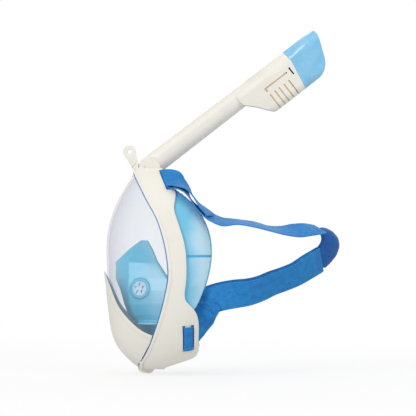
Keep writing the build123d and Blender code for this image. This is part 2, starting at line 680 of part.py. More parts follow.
# ---------------------------------------------------------------------------
# Nose and mouth pocket, its two side valves and the purge valve below
# ---------------------------------------------------------------------------


def pocket_row(row, inset):
    """One faceted horizontal section of the pocket."""
    z, y_front, f, y_edge, c, y_rear, r = row
    zz = z * KH
    if row is POCKET[0]:
        zz -= inset
    if row is POCKET[-1]:
        zz += inset
    front_y = y_front * KD + inset
    edge_y = y_edge * KD + 0.6 * inset
    rear_y = y_rear * KD + (0.5 if inset else 0)
    f2 = max(f * KW - 0.5 * inset, 0.6)
    c2 = max(c * KW - inset, 1.2)
    r2 = r * KW - inset
    points = [
        (-r2, rear_y, zz), (-c2, edge_y, zz), (-f2, front_y, zz),
        (f2, front_y, zz), (c2, edge_y, zz), (r2, rear_y, zz),
    ]
    return Wire(Polyline(*points, close=True).edges())


pocket_outer = Solid.make_loft([pocket_row(row, 0) for row in POCKET], ruled=True)
pocket_inner = Solid.make_loft([pocket_row(row, POCKET_WALL) for row in POCKET], ruled=True)


def pocket_side(y, z):
    """Half width of the pocket's side facet at a depth and height."""
    rows = sorted(POCKET, key=lambda row: row[0])
    for low, high in zip(rows, rows[1:]):
        if low[0] <= z <= high[0]:
            u = (z - low[0]) / (high[0] - low[0])
            mix = [a + (b - a) * u for a, b in zip(low, high)]
            v = (y - mix[3]) / (mix[5] - mix[3])
            return mix[4] + (mix[6] - mix[4]) * v
    return rows[0][6]


VALVE_Y, VALVE_Z = -63.5, -38.6
VALVE_X = pocket_side(VALVE_Y, VALVE_Z)
slope_y = (pocket_side(VALVE_Y + 6, VALVE_Z) - pocket_side(VALVE_Y - 6, VALVE_Z)) / 12
slope_z = (pocket_side(VALVE_Y, VALVE_Z + 8) - pocket_side(VALVE_Y, VALVE_Z - 8)) / 16
valve_plane = Plane(
    origin=(VALVE_X * KW, VALVE_Y * KD, VALVE_Z * KH), x_dir=(0, 1, 0),
    z_dir=Vector(1, -slope_y, -slope_z).normalized(),
)
boss = Pos(0, 0, -1.6) * Cylinder(SEAT_RADIUS + 3.0, 5.6)
boss_bore = Cylinder(SEAT_RADIUS + ASSEMBLY_GAP, 30)
boss_left = valve_plane.location * boss
bore_left = valve_plane.location * boss_bore


def petal_seat(radius, thick, pin_length):
    """A valve seat with five petal ports and a button pin below it."""
    seat = Pos(0, 0, thick / 2) * Cylinder(radius, thick)
    for i in range(5):
        port_shape = Pos(0.56 * radius, 0, -1) * Ellipse(0.27 * radius, 0.2 * radius)
        seat = seat - Rot(0, 0, 72 * i + 90) * extrude(port_shape, amount=thick + 2)
    pin = Pos(0, 0, -pin_length / 2) * Cylinder(0.9, pin_length)
    button = Pos(0, 0, -pin_length - 0.3) * Cylinder(1.7, 0.6)
    return seat + pin + button


def flap_disc(radius):
    """A thin valve disc with a hole for the seat's pin, lying under the seat."""
    return Pos(0, 0, -0.05 - 0.35) * (Cylinder(radius, 0.7) - Cylinder(1.0, 2))


seat_at = valve_plane.location * Location((0, 0, -0.9))
inhale_valve_seat_left = seat_at * petal_seat(SEAT_RADIUS, 2.0, 0.8 + FLAP_TRAVEL)
inhale_flap_left = seat_at * flap_disc(SEAT_RADIUS - 1.2)
inhale_valve_seat_right = mirrored(inhale_valve_seat_left)
inhale_flap_right = mirrored(inhale_flap_left)

# The pocket's floor carries the purge duct, and a web joins it to the skirt.
purge_y = -52.0 * KD
floor_z = -79.0 * KH
web_side = block((-REACH, -66 * KD, floor_z - 0.2), (REACH, -26 * KD, floor_z + 2.0))
web = web_side & body(-LENS_WALL - 2 * ASSEMBLY_GAP)
pocket = pocket_outer + boss_left + mirrored(boss_left) + web
pocket = pocket - pocket_inner
pocket = pocket - bore_left - mirrored(bore_left)
pocket = pocket - Pos(0, purge_y, floor_z) * Cylinder(PURGE_RADIUS + ASSEMBLY_GAP, 12)
nose_mouth_pocket = biggest(pocket)

duct_low = floor_z - 14
duct = Pos(0, purge_y, (floor_z + 2.0 + duct_low) / 2) * (
    Cylinder(PURGE_RADIUS, floor_z + 2.0 - duct_low) - Cylinder(PURGE_RADIUS - 1.8, 60)
)
collar = Pos(0, purge_y, floor_z - 1.7) * (Cylinder(PURGE_RADIUS + 2, 2.6) - Cylinder(PURGE_RADIUS - 1, 9))
purge_plate = Pos(0, purge_y, duct_low) * petal_seat(PURGE_RADIUS, 2.0, 0.8 + 1.6)
purge_valve_seat = duct + collar + purge_plate
purge_diaphragm = Pos(0, purge_y, duct_low) * flap_disc(PURGE_RADIUS - 0.4)

# ---------------------------------------------------------------------------
# Head straps: slots in the frame, sewn loops, straps and the rear panel
# ---------------------------------------------------------------------------
mid_wall = body((frame_inner + frame_outer) / 2)
WALL_HALF = FRAME_WALL / 2
LAYER = WALL_HALF + 0.7 + STRAP_THICK / 2


def slot_frame(high, low):
    """Centre, width direction, outward normal and rearward direction of a slot."""
    top_point = Vector(wall_x(mid_wall, *high), *high)
    low_point = Vector(wall_x(mid_wall, *low), *low)
    centre = (top_point + low_point) * 0.5
    behind = Vector(wall_x(mid_wall, centre.Y + 4, centre.Z), centre.Y + 4, centre.Z)
    here = Vector(wall_x(mid_wall, centre.Y, centre.Z), centre.Y, centre.Z)
    width = (low_point - top_point).normalized()
    normal = (behind - here).cross(width).normalized()
    if normal.X < 0:
        normal = normal * -1
    rear = width.cross(normal).normalized()
    if rear.Y < 0:
        rear = rear * -1
    return (here + centre) * 0.5, width, normal, rear


def slot_plane(spec):
    """A plane whose X runs rearwards, Y outwards and Z along the slot."""
    here, width, normal, rear = spec
    return Plane(origin=here, x_dir=rear, z_dir=rear.cross(normal))


upper_spec = slot_frame(yz(-39.8, 96), yz(-31.6, 77.2))
upper_plane = slot_plane(upper_spec)
lower_spec = slot_frame(yz(-7.8, -78.5), yz(-7.8, -110.5))
lower_plane = slot_plane(lower_spec)
SLOT_LONG = STRAP_WIDTH + 3.0
SLOT_OPEN, REAR_SLOT_OPEN, SLOT_THROUGH = 3.4, 3.8, 16.0
BAR = 6.4  # bar between the two lower slots
upper_slot = upper_plane.location * Box(SLOT_OPEN, SLOT_THROUGH, SLOT_LONG)
lower_slot = lower_plane.location * (
    Pos(-(BAR + SLOT_OPEN) / 2, 0, 0) * Box(SLOT_OPEN, SLOT_THROUGH, SLOT_LONG)
    + Pos((BAR + REAR_SLOT_OPEN) / 2, 0, 0) * Box(REAR_SLOT_OPEN, SLOT_THROUGH, SLOT_LONG)
)
for cutter in (upper_slot, lower_slot):
    main_frame = main_frame - cutter - mirrored(cutter)
main_frame = biggest(main_frame)


def band(points, radius):
    """A strap's cross layers, traced in a slot's plane and widened along it."""
    path = FilletPolyline(*points, radius=radius)
    face = trace(path, line_width=STRAP_THICK)
    return extrude(face, amount=STRAP_WIDTH / 2, both=True)


def station(point, across):
    """One ribbon station from a point and a width direction."""
    return (point.X, point.Y, point.Z, across.X, across.Y, across.Z)


def in_plane(plane, x, y):
    """A model-space point from a slot plane's rearward and outward distances."""
    return plane.from_local_coords(Vector(x, y, 0))


SPREAD = STRAP_THICK + 0.4


def loop_layers(plane, width, leg, starts, path):
    """The two layers of a loop, from its turn at the slot back to its seam."""
    layers = []
    count = len(path)
    middle = sum(starts) / 2
    for offset in starts:
        side = 1 if offset > middle else -1
        near = abs(offset - middle)
        rows = [station(in_plane(plane, leg, offset), width)]
        previous = in_plane(plane, leg, middle)
        for i, ((x, y, z), across) in enumerate(path):
            point = Vector(x * KW, y * KD, z * KH)
            wide = Vector(*across).normalized()
            out = (point - previous).cross(wide).normalized()
            if out.X + 0.6 * out.Z < 0:
                out = out * -1
            share = near + (SPREAD - near) * (i + 1) / count
            rows.append(station(point + out * (side * share), wide))
            previous = point
        layers.append(ribbon(rows, STRAP_WIDTH, STRAP_THICK))
    return layers


# Upper loop: through the slot and round the bar at the frame's rear edge.
UPPER_LEG = 6.8
upper_turn = band([(UPPER_LEG, -LAYER), (-0.1, -LAYER), (-0.1, LAYER), (UPPER_LEG, LAYER)], 1.6)
upper_turn = upper_plane.location * upper_turn
UPPER_PATH = [
    ((41.0, -20.5, 83.2), (0.77, 0.3, -0.56)), ((46.5, -9.5, 74.0), (0.8, 0.38, -0.46)),
    ((52.5, 4.5, 57.5), (0.86, 0.3, -0.41)), ((57, 18.7, 44.6), (0.92, 0.15, -0.36)),
]
upper_layers = loop_layers(upper_plane, upper_spec[1], UPPER_LEG, (-LAYER, LAYER), UPPER_PATH)
upper_loop_left = upper_turn + upper_layers[0] + upper_layers[1]

# Lower loop: over the bar between the two slots, then inboard of the frame.
LOWER_LEG = 6.6
DEEP = -LAYER - STRAP_THICK - 0.2
lower_turn = band(
    [
        (LOWER_LEG, -LAYER), (4.6, -LAYER), (4.6, LAYER), (-4.6, LAYER), (-4.6, DEEP), (LOWER_LEG, DEEP),
    ],
    1.1,
)
lower_turn = lower_plane.location * lower_turn
LOWER_PATH = [
    ((66.8, 0.5, -85.5), (-0.30, 0.03, -0.95)), ((64.8, 5.8, -75.0), (-0.2, 0.06, -0.98)),
    ((66.4, 12.0, -62.5), (-0.08, 0.06, -1.0)), ((69, 18.5, -51.8), (0, 0.02, -1)),
]
lower_layers = loop_layers(lower_plane, lower_spec[1], LOWER_LEG, (DEEP, -LAYER), LOWER_PATH)
lower_loop_left = lower_turn + lower_layers[0] + lower_layers[1]


def strap(rows):
    """A strap from rows of position and width direction."""
    return ribbon(
        [(x * KW, y * KD, z * KH, *across) for (x, y, z), across in rows], STRAP_WIDTH, STRAP_THICK
    )


upper_strap_left = strap([
    ((56.2, 15.2, 47.5), (0.91, 0.18, -0.37)), ((57, 18.7, 44.6), (0.92, 0.15, -0.36)),
    ((60, 33, 38.8), (0.95, 0.04, -0.30)), ((62, 50, 38.6), (0.98, 0, -0.17)),
    ((62.5, 69, 35.8), (0.98, 0, -0.19)), ((61, 87, 31.0), (0.98, 0, -0.17)),
    ((59, 103, 28.6), (0.95, 0, -0.3)), ((55.5, 118, 28.7), (0.88, 0.04, -0.47)),
    ((50.5, 132, 30.2), (0.87, 0.2, -0.43)), ((43.5, 145.5, 30.6), (0.86, 0.42, -0.28)),
])
lower_strap_left = strap([
    ((68.2, 16.2, -54.2), (-0.02, 0.02, -1)), ((69, 18.5, -51.8), (0, 0.02, -1)),
    ((70.8, 31.6, -47.9), (0, 0.04, -1)), ((71, 47, -45.2), (-0.14, 0.05, -0.98)),
    ((70, 62, -43.2), (-0.34, 0.06, -0.93)), ((68, 76, -39.2), (-0.48, 0.14, -0.86)),
    ((65.3, 90, -33.0), (-0.56, 0.25, -0.78)), ((62, 104, -28.0), (-0.58, 0.27, -0.76)),
    ((57.8, 118, -22.2), (-0.58, 0.3, -0.75)), ((52, 132, -13.6), (-0.52, 0.34, -0.78)),
    ((46.5, 139.8, -9.0), (-0.57, 0.38, -0.73)), ((40, 146.5, -4.8), (-0.61, 0.39, -0.69)),
])

# Rear panel: a pad that joins the four straps and wraps the back of the head,
# as depth and height, top to bottom, at three distances from the middle.
PANEL_OUTER, PANEL_KNEE = 46.0, 25.0
PANEL_ROWS = {
    0.0: [
        (154.5, 31.0), (162.5, 26.0), (167.8, 18.5), (168.8, 10.0), (166.0, 1.0), (160.5, -6.5),
        (154.0, -12.5),
    ],
    PANEL_KNEE: [
        (151.8, 32.0), (159.5, 27.5), (164.8, 20.0), (166.0, 11.0), (163.0, 1.5), (157.5, -7.5),
        (151.0, -14.5),
    ],
    PANEL_OUTER: [
        (143.5, 29.2), (148.3, 25.5), (150.6, 20.0), (149.8, 14.5), (146.6, 9.5), (143.0, 5.5),
        (139.8, 2.5),
    ],
}


def panel_section(x):
    """One strip section of the rear panel at a lateral station."""
    rows = PANEL_ROWS[abs(x)]
    outer_points = [(x * KW, y * KD, z * KH) for y, z in rows]
    inner_points = [(px, py - STRAP_THICK, pz) for px, py, pz in outer_points]
    top = Line(outer_points[0], inner_points[0])
    bottom = Line(outer_points[-1], inner_points[-1])
    outer, inner = Spline(*outer_points), Spline(*inner_points)
    return Wire(outer.edges() + inner.edges() + top.edges() + bottom.edges())


rear_strap_panel = Solid.make_loft([
    panel_section(x) for x in (-PANEL_OUTER, -PANEL_KNEE, 0.0, PANEL_KNEE, PANEL_OUTER)
])

# Each strap stops where it meets its loop and the rear panel.
upper_strap_left = biggest(upper_strap_left - upper_loop_left - rear_strap_panel)
lower_strap_left = biggest(lower_strap_left - lower_loop_left - rear_strap_panel)

# The skirt steps inboard of the upper loops where they pass through the frame.
DENT_LONG, DENT_DEEP, DENT_MARGIN, DENT_WALL = 26.0, 7.0, 2.5, 2.0
dent_at = upper_plane.location * Pos(9, -3.4, 0)
dent = dent_at * Box(DENT_LONG, DENT_DEEP, SLOT_LONG + DENT_MARGIN)
dent_wall = dent_at * Box(
    DENT_LONG + 2 * DENT_WALL, DENT_DEEP + 2 * DENT_WALL, SLOT_LONG + DENT_MARGIN + 2 * DENT_WALL
)
dent_wall = (dent_wall & form_skin & skirt_side) - dent
face_skirt = face_skirt - dent - mirrored(dent) + dent_wall + mirrored(dent_wall)
face_skirt = biggest(face_skirt)

# ---------------------------------------------------------------------------
# Export, one file for each piece
# ---------------------------------------------------------------------------
pieces = {
    "main_frame": main_frame,
    "lens": lens,
    "lens_gasket": gasket,
    "chin_cover": chin_cover,
    "face_skirt": face_skirt,
    "nose_mouth_pocket": nose_mouth_pocket,
    "inhale_valve_seat_left": inhale_valve_seat_left,
    "inhale_valve_seat_right": inhale_valve_seat_right,
    "inhale_flap_left": inhale_flap_left,
    "inhale_flap_right": inhale_flap_right,
    "purge_valve_seat": purge_valve_seat,
    "purge_diaphragm": purge_diaphragm,
    "pivot_drum": pivot_drum,
    "pivot_seal_left": pivot_seal_left,
    "pivot_seal_right": pivot_seal_right,
    "snorkel_tube": snorkel_tube,
    "pivot_cap_left": pivot_cap_left,
    "pivot_cap_right": pivot_cap_right,
    "valve_housing": valve_housing,
    "float_seat_plate": float_seat_plate,
    "float_block": float_block,
    "float_seal": float_seal,
    "head_cap": head_cap,
    "camera_mount": camera_mount,
    "upper_loop_left": upper_loop_left,
    "upper_loop_right": mirrored(upper_loop_left),
    "lower_loop_left": lower_loop_left,
    "lower_loop_right": mirrored(lower_loop_left),
    "upper_strap_left": upper_strap_left,
    "upper_strap_right": mirrored(upper_strap_left),
    "lower_strap_left": lower_strap_left,
    "lower_strap_right": mirrored(lower_strap_left),
    "rear_strap_panel": rear_strap_panel,
}
for name, shape in pieces.items():
    export_step(shape, f"parts/{name}.step")
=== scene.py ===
import json
import logging
import math
from dataclasses import dataclass, field
from enum import Enum
from typing import Callable

import bpy
from bpy.types import BevelModifier, Material, MeshPolygon, Node, NodeSocket, NodeTree, Object
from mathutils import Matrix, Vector


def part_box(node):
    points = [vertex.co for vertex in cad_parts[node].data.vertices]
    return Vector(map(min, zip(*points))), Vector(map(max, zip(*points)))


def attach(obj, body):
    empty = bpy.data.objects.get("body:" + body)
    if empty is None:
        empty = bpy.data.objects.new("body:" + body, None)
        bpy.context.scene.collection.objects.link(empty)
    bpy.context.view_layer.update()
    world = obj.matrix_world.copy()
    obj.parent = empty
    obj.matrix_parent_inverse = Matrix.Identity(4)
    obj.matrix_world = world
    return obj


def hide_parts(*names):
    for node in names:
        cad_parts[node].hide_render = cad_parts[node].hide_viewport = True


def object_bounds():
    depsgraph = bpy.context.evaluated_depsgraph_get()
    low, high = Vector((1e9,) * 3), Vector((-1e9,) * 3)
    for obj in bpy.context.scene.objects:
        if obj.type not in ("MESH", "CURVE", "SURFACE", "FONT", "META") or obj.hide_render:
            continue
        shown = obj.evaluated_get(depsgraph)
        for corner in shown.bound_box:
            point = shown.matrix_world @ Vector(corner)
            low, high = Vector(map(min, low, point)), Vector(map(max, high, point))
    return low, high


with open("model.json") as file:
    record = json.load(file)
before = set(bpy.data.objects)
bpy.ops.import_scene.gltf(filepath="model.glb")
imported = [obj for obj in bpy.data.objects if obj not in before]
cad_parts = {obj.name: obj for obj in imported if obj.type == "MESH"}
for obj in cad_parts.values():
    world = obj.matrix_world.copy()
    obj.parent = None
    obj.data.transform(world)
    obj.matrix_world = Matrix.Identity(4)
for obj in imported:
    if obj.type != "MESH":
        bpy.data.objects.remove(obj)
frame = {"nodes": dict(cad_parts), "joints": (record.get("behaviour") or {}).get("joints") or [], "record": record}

# Looks for a full-face snorkel mask: finishes for its hard parts, and modelled
# silicone and webbing in place of the frame's plain soft solids. Sizes in the
# classes are millimetres; meshes are built in metres.

LOG = logging.getLogger("snorkel_mask")
MM = 0.001
Point = tuple[float, float, float]
Pair = tuple[float, float]
Row = tuple[Pair, Pair]
ROOT_BODY = "mask"
CAD_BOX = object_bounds()


# ---------------------------------------------------------------------------
# Small tools
# ---------------------------------------------------------------------------
def linear(red: float, green: float, blue: float) -> tuple[float, float, float, float]:
    """Turn a display colour into the linear colour that shaders take.

    Args:
        red: Red as shown, 0 to 1.
        green: Green as shown, 0 to 1.
        blue: Blue as shown, 0 to 1.

    Returns:
        The linear colour with full alpha.
    """
    channels = [c / 12.92 if c <= 0.04045 else ((c + 0.055) / 1.055) ** 2.4 for c in (red, green, blue)]
    return (channels[0], channels[1], channels[2], 1.0)


def deselect_all() -> None:
    """Leave nothing selected and edit mode closed."""
    if bpy.context.object is not None and bpy.context.object.mode != "OBJECT":
        bpy.ops.object.mode_set(mode="OBJECT")
    bpy.ops.object.select_all(action="DESELECT")


def make_active(piece: Object) -> None:
    """Select one piece alone and make it active.

    Args:
        piece: The piece.
    """
    deselect_all()
    piece.select_set(True)
    bpy.context.view_layer.objects.active = piece


def apply_modifiers(piece: Object) -> None:
    """Apply every modifier of a piece in order.

    Args:
        piece: The piece.
    """
    make_active(piece)
    for name in [modifier.name for modifier in piece.modifiers]:
        bpy.ops.object.modifier_apply(modifier=name)


def add_bevel(piece: Object, name: str, width: float, segments: int,
              degrees: float) -> BevelModifier:
    """Add a bevel that rounds the edges sharper than an angle.

    Args:
        piece: The piece.
        name: Name of the modifier.
        width: Width in millimetres.
        segments: Faces across the bevel.
        degrees: The angle.

    Returns:
        The modifier.
    """
    bevel = piece.modifiers.new(name, "BEVEL")
    bevel.width = width * MM
    bevel.segments = segments
    bevel.limit_method = "ANGLE"
    bevel.angle_limit = math.radians(degrees)
    return bevel


def new_slab(name: str, columns: int, rows: int) -> Object:
    """Model a flat slab from a grid: one unit long, wide and thick, to be laid on a run.

    Args:
        name: Name of the piece.
        columns: Faces along it.
        rows: Faces across it.

    Returns:
        The slab.
    """
    deselect_all()
    bpy.ops.mesh.primitive_grid_add(x_subdivisions=columns, y_subdivisions=rows, size=1.0)
    slab = bpy.context.object
    slab.name = name
    slab.data.name = name
    bpy.ops.object.mode_set(mode="EDIT")
    bpy.ops.mesh.select_all(action="SELECT")
    bpy.ops.mesh.extrude_region_move(TRANSFORM_OT_translate={"value": (0.0, 0.0, 1.0)})
    bpy.ops.object.mode_set(mode="OBJECT")
    return slab


def unroll(slab: Object, length: float, width: float) -> None:
    """Write a flat slab's map in centimetres.

    Args:
        slab: The slab, before it is laid.
        length: Its length in centimetres.
        width: Its width in centimetres.
    """
    layer = slab.data.uv_layers.active or slab.data.uv_layers.new(name="UVMap")
    for loop in slab.data.loops:
        flat = slab.data.vertices[loop.vertex_index].co
        layer.data[loop.index].uv = ((flat.x + 0.5) * length, (flat.y + 0.5) * width)


def own_copy(piece: Object) -> Object:
    """Copy a piece with a mesh of its own, linked to the scene.

    Args:
        piece: The piece to copy.

    Returns:
        The copy.
    """
    other = piece.copy()
    other.data = piece.data.copy()
    bpy.context.scene.collection.objects.link(other)
    return other


def new_material(name: str) -> tuple[Material, NodeTree, Node, Node]:
    """Make a material with a Principled shader.

    Args:
        name: Its name.

    Returns:
        The material, its node tree, its shader and its output node.
    """
    material = bpy.data.materials.new(name)
    material.use_nodes = True
    tree = material.node_tree
    shader = next(node for node in tree.nodes if node.type == "BSDF_PRINCIPLED")
    out = next(node for node in tree.nodes if node.type == "OUTPUT_MATERIAL")
    return material, tree, shader, out


def shade_by_angle(piece: Object, degrees: float = 40.0) -> None:
    """Shade a piece smooth, with edges sharper than an angle kept crisp."""
    make_active(piece)
    bpy.ops.object.shade_smooth_by_angle(angle=math.radians(degrees))


def outward(piece: Object) -> None:
    """Point every face of a closed piece outwards.

    Args:
        piece: The closed piece.
    """
    make_active(piece)
    bpy.ops.object.mode_set(mode="EDIT")
    bpy.ops.mesh.select_all(action="SELECT")
    bpy.ops.mesh.normals_make_consistent(inside=False)
    bpy.ops.object.mode_set(mode="OBJECT")


def pick_faces(piece: Object, wanted: Callable[[MeshPolygon], bool]) -> None:
    """Open a piece in edit mode with only the wanted faces selected.

    Args:
        piece: The piece.
        wanted: Says whether a face is wanted.
    """
    make_active(piece)
    bpy.ops.object.mode_set(mode="EDIT")
    bpy.ops.mesh.select_mode(type="FACE")
    bpy.ops.mesh.select_all(action="DESELECT")
    bpy.ops.object.mode_set(mode="OBJECT")
    for face in piece.data.polygons:
        face.select = wanted(face)
    bpy.ops.object.mode_set(mode="EDIT")


def joined(name: str, parts: list[Object]) -> Object:
    """Join several pieces into the first one.

    Args:
        name: Name of the joined piece.
        parts: Pieces to join.

    Returns:
        The joined piece.
    """
    make_active(parts[0])
    for part in parts:
        part.select_set(True)
    bpy.ops.object.join()
    parts[0].name = name
    return parts[0]


def mirrored_copy(piece: Object, name: str) -> Object:
    """Copy a piece to the other side of the mask, with its own mesh.

    Args:
        piece: The wearer's left piece.
        name: Name of the right piece.

    Returns:
        The mirrored piece, with faces turned outwards.
    """
    make_active(piece)
    bpy.ops.object.duplicate()
    other = bpy.context.object
    other.name = name
    other.data.name = name
    for vertex in other.data.vertices:
        vertex.co.x = -vertex.co.x
    other.data.flip_normals()
    return other


def joint_named(name: str) -> dict:
    """Look up one of the frame's joints."""
    return next(joint for joint in frame["joints"] if joint["name"] == name)


def settle(piece: Object, body: str, material: Material) -> None:
    """Give a new piece its body and its material, and log it.

    Args:
        piece: The finished piece.
        body: Body that it rides on.
        material: Its finish.
    """
    piece.data.materials.clear()
    piece.data.materials.append(material)
    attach(piece, body)
    LOG.info("%s: %d faces on %s", piece.name, len(piece.data.polygons), body)


# ---------------------------------------------------------------------------
# Shader node groups that several finishes share
# ---------------------------------------------------------------------------
class Effect(Enum):
    """The shared surface effects, by the name of their node group."""

    MOULDED = "moulded_grain"
    SILICONE = "silicone_haze"
    WEAVE = "webbing_weave"


def open_group(effect: Effect, sockets_in: dict[str, str], sockets_out: dict[str, str]) -> NodeTree:
    """Start a node group with named sockets.

    Args:
        effect: The effect that the group makes.
        sockets_in: Input names and their socket types.
        sockets_out: Output names and their socket types.

    Returns:
        The empty group, with its group input and output nodes.
    """
    tree = bpy.data.node_groups.new(effect.value, "ShaderNodeTree")
    for name, kind in sockets_in.items():
        tree.interface.new_socket(name, in_out="INPUT", socket_type=kind)
    for name, kind in sockets_out.items():
        tree.interface.new_socket(name, in_out="OUTPUT", socket_type=kind)
    tree.nodes.new("NodeGroupInput").name = "in"
    tree.nodes.new("NodeGroupOutput").name = "out"
    return tree


COLOUR = "NodeSocketColor"
VALUE = "NodeSocketFloat"


def preset(node: Node, **values: "float | tuple[float, ...]") -> None:
    """Set a node's inputs, named with _ in place of each space."""
    for name, value in values.items():
        node.inputs[name.replace("_", " ")].default_value = value


def noise(tree: NodeTree, vector: NodeSocket, scale: float, detail: float) -> Node:
    """Add a noise texture.

    Args:
        tree: Tree to add it to.
        vector: Coordinates that it reads.
        scale: Lumps per metre or per unit of the coordinates.
        detail: Octaves of finer noise.

    Returns:
        The noise node.
    """
    node = tree.nodes.new("ShaderNodeTexNoise")
    preset(node, Scale=scale, Detail=detail)
    tree.links.new(vector, node.inputs["Vector"])
    return node


def span(tree: NodeTree, value: NodeSocket, source: Pair,
         target: Pair) -> NodeSocket:
    """Map a value from one range to another, held at its ends.

    Args:
        tree: Tree to add the node to.
        value: The value to map.
        source: Its range.
        target: The range that comes out.

    Returns:
        The mapped value.
    """
    node = tree.nodes.new("ShaderNodeMapRange")
    node.interpolation_type = "SMOOTHSTEP"
    preset(node, From_Min=source[0], From_Max=source[1], To_Min=target[0], To_Max=target[1])
    tree.links.new(value, node.inputs["Value"])
    return node.outputs["Result"]


def math_node(tree: NodeTree, operation: str, first: NodeSocket,
              second: "NodeSocket | float") -> NodeSocket:
    """Combine two values.

    Args:
        tree: Tree to add the node to.
        operation: The Math node's operation.
        first: First value.
        second: Second value, a socket or a number.

    Returns:
        The result.
    """
    node = tree.nodes.new("ShaderNodeMath")
    node.operation = operation
    tree.links.new(first, node.inputs[0])
    if isinstance(second, (int, float)):
        node.inputs[1].default_value = second
    else:
        tree.links.new(second, node.inputs[1])
    return node.outputs[0]


def blend_colours(tree: NodeTree, share: NodeSocket, first: NodeSocket,
                  second: NodeSocket) -> NodeSocket:
    """Blend two colours by a share of the second.

    Args:
        tree: Tree to add the node to.
        share: How much of the second colour shows.
        first: Colour where the share is 0.
        second: Colour where the share is 1.

    Returns:
        The blended colour.
    """
    node = tree.nodes.new("ShaderNodeMix")
    node.data_type = "RGBA"
    tree.links.new(share, node.inputs["Factor"])
    tree.links.new(first, node.inputs[6])
    tree.links.new(second, node.inputs[7])
    return node.outputs[2]


def build_moulded_group() -> None:
    """Make the moulded plastic effect: clouded colour, worn edges and fine grain."""
    tree = open_group(
        Effect.MOULDED,
        {"Colour": COLOUR, "Shade": COLOUR, "Worn": COLOUR, "Gloss": VALUE},
        {"Colour": COLOUR, "Roughness": VALUE, "Height": VALUE},
    )
    given, out = tree.nodes["in"], tree.nodes["out"]
    place = tree.nodes.new("ShaderNodeTexCoord").outputs["Object"]
    cloud = noise(tree, place, 22.0, 3.0).outputs["Fac"]
    grain = noise(tree, place, 900.0, 2.0).outputs["Fac"]
    smudge = noise(tree, place, 70.0, 4.0).outputs["Fac"]
    toned = blend_colours(tree, span(tree, cloud, (0.35, 0.75), (0.0, 1.0)), given.outputs["Colour"],
                          given.outputs["Shade"])
    edge = tree.nodes.new("ShaderNodeNewGeometry").outputs["Pointiness"]
    rubbed = math_node(tree, "MULTIPLY", span(tree, edge, (0.54, 0.64), (0.0, 0.7)),
                       span(tree, smudge, (0.35, 0.65), (0.3, 1.0)))
    tree.links.new(blend_colours(tree, rubbed, toned, given.outputs["Worn"]), out.inputs["Colour"])
    haze = math_node(tree, "ADD", given.outputs["Gloss"], span(tree, smudge, (0.3, 0.75), (-0.03, 0.06)))
    tree.links.new(haze, out.inputs["Roughness"])
    tree.links.new(grain, out.inputs["Height"])


def build_silicone_group() -> None:
    """Make the silicone effect: milky clouds, a fade between two depths and a rib line."""
    tree = open_group(
        Effect.SILICONE,
        {"Colour": COLOUR, "Pale": COLOUR, "Line": COLOUR, "Fade from": VALUE, "Fade to": VALUE,
         "Line height": VALUE, "Gloss": VALUE},
        {"Colour": COLOUR, "Roughness": VALUE, "Height": VALUE},
    )
    given, out = tree.nodes["in"], tree.nodes["out"]
    place = tree.nodes.new("ShaderNodeTexCoord").outputs["Object"]
    parts = tree.nodes.new("ShaderNodeSeparateXYZ")
    tree.links.new(place, parts.inputs[0])
    cloud = noise(tree, place, 30.0, 3.0).outputs["Fac"]
    depth = tree.nodes.new("ShaderNodeMapRange")
    depth.interpolation_type = "SMOOTHSTEP"
    wander = math_node(tree, "ADD", parts.outputs["Y"], span(tree, cloud, (0.3, 0.7), (-0.004, 0.004)))
    tree.links.new(wander, depth.inputs["Value"])
    tree.links.new(given.outputs["Fade from"], depth.inputs["From Min"])
    tree.links.new(given.outputs["Fade to"], depth.inputs["From Max"])
    faded = blend_colours(tree, depth.outputs["Result"], given.outputs["Colour"], given.outputs["Pale"])
    off_line = math_node(tree, "ABSOLUTE", math_node(tree, "SUBTRACT", parts.outputs["Z"],
                                                     given.outputs["Line height"]), 0.0)
    behind = span(tree, parts.outputs["Y"], (-0.011, -0.007), (0.0, 1.0))
    line = math_node(tree, "MULTIPLY", span(tree, off_line, (0.0008, 0.0020), (1.0, 0.0)), behind)
    tree.links.new(blend_colours(tree, line, faded, given.outputs["Line"]), out.inputs["Colour"])
    rough = math_node(tree, "ADD", given.outputs["Gloss"], span(tree, cloud, (0.3, 0.7), (-0.05, 0.07)))
    tree.links.new(rough, out.inputs["Roughness"])
    tree.links.new(noise(tree, place, 900.0, 2.0).outputs["Fac"], out.inputs["Height"])


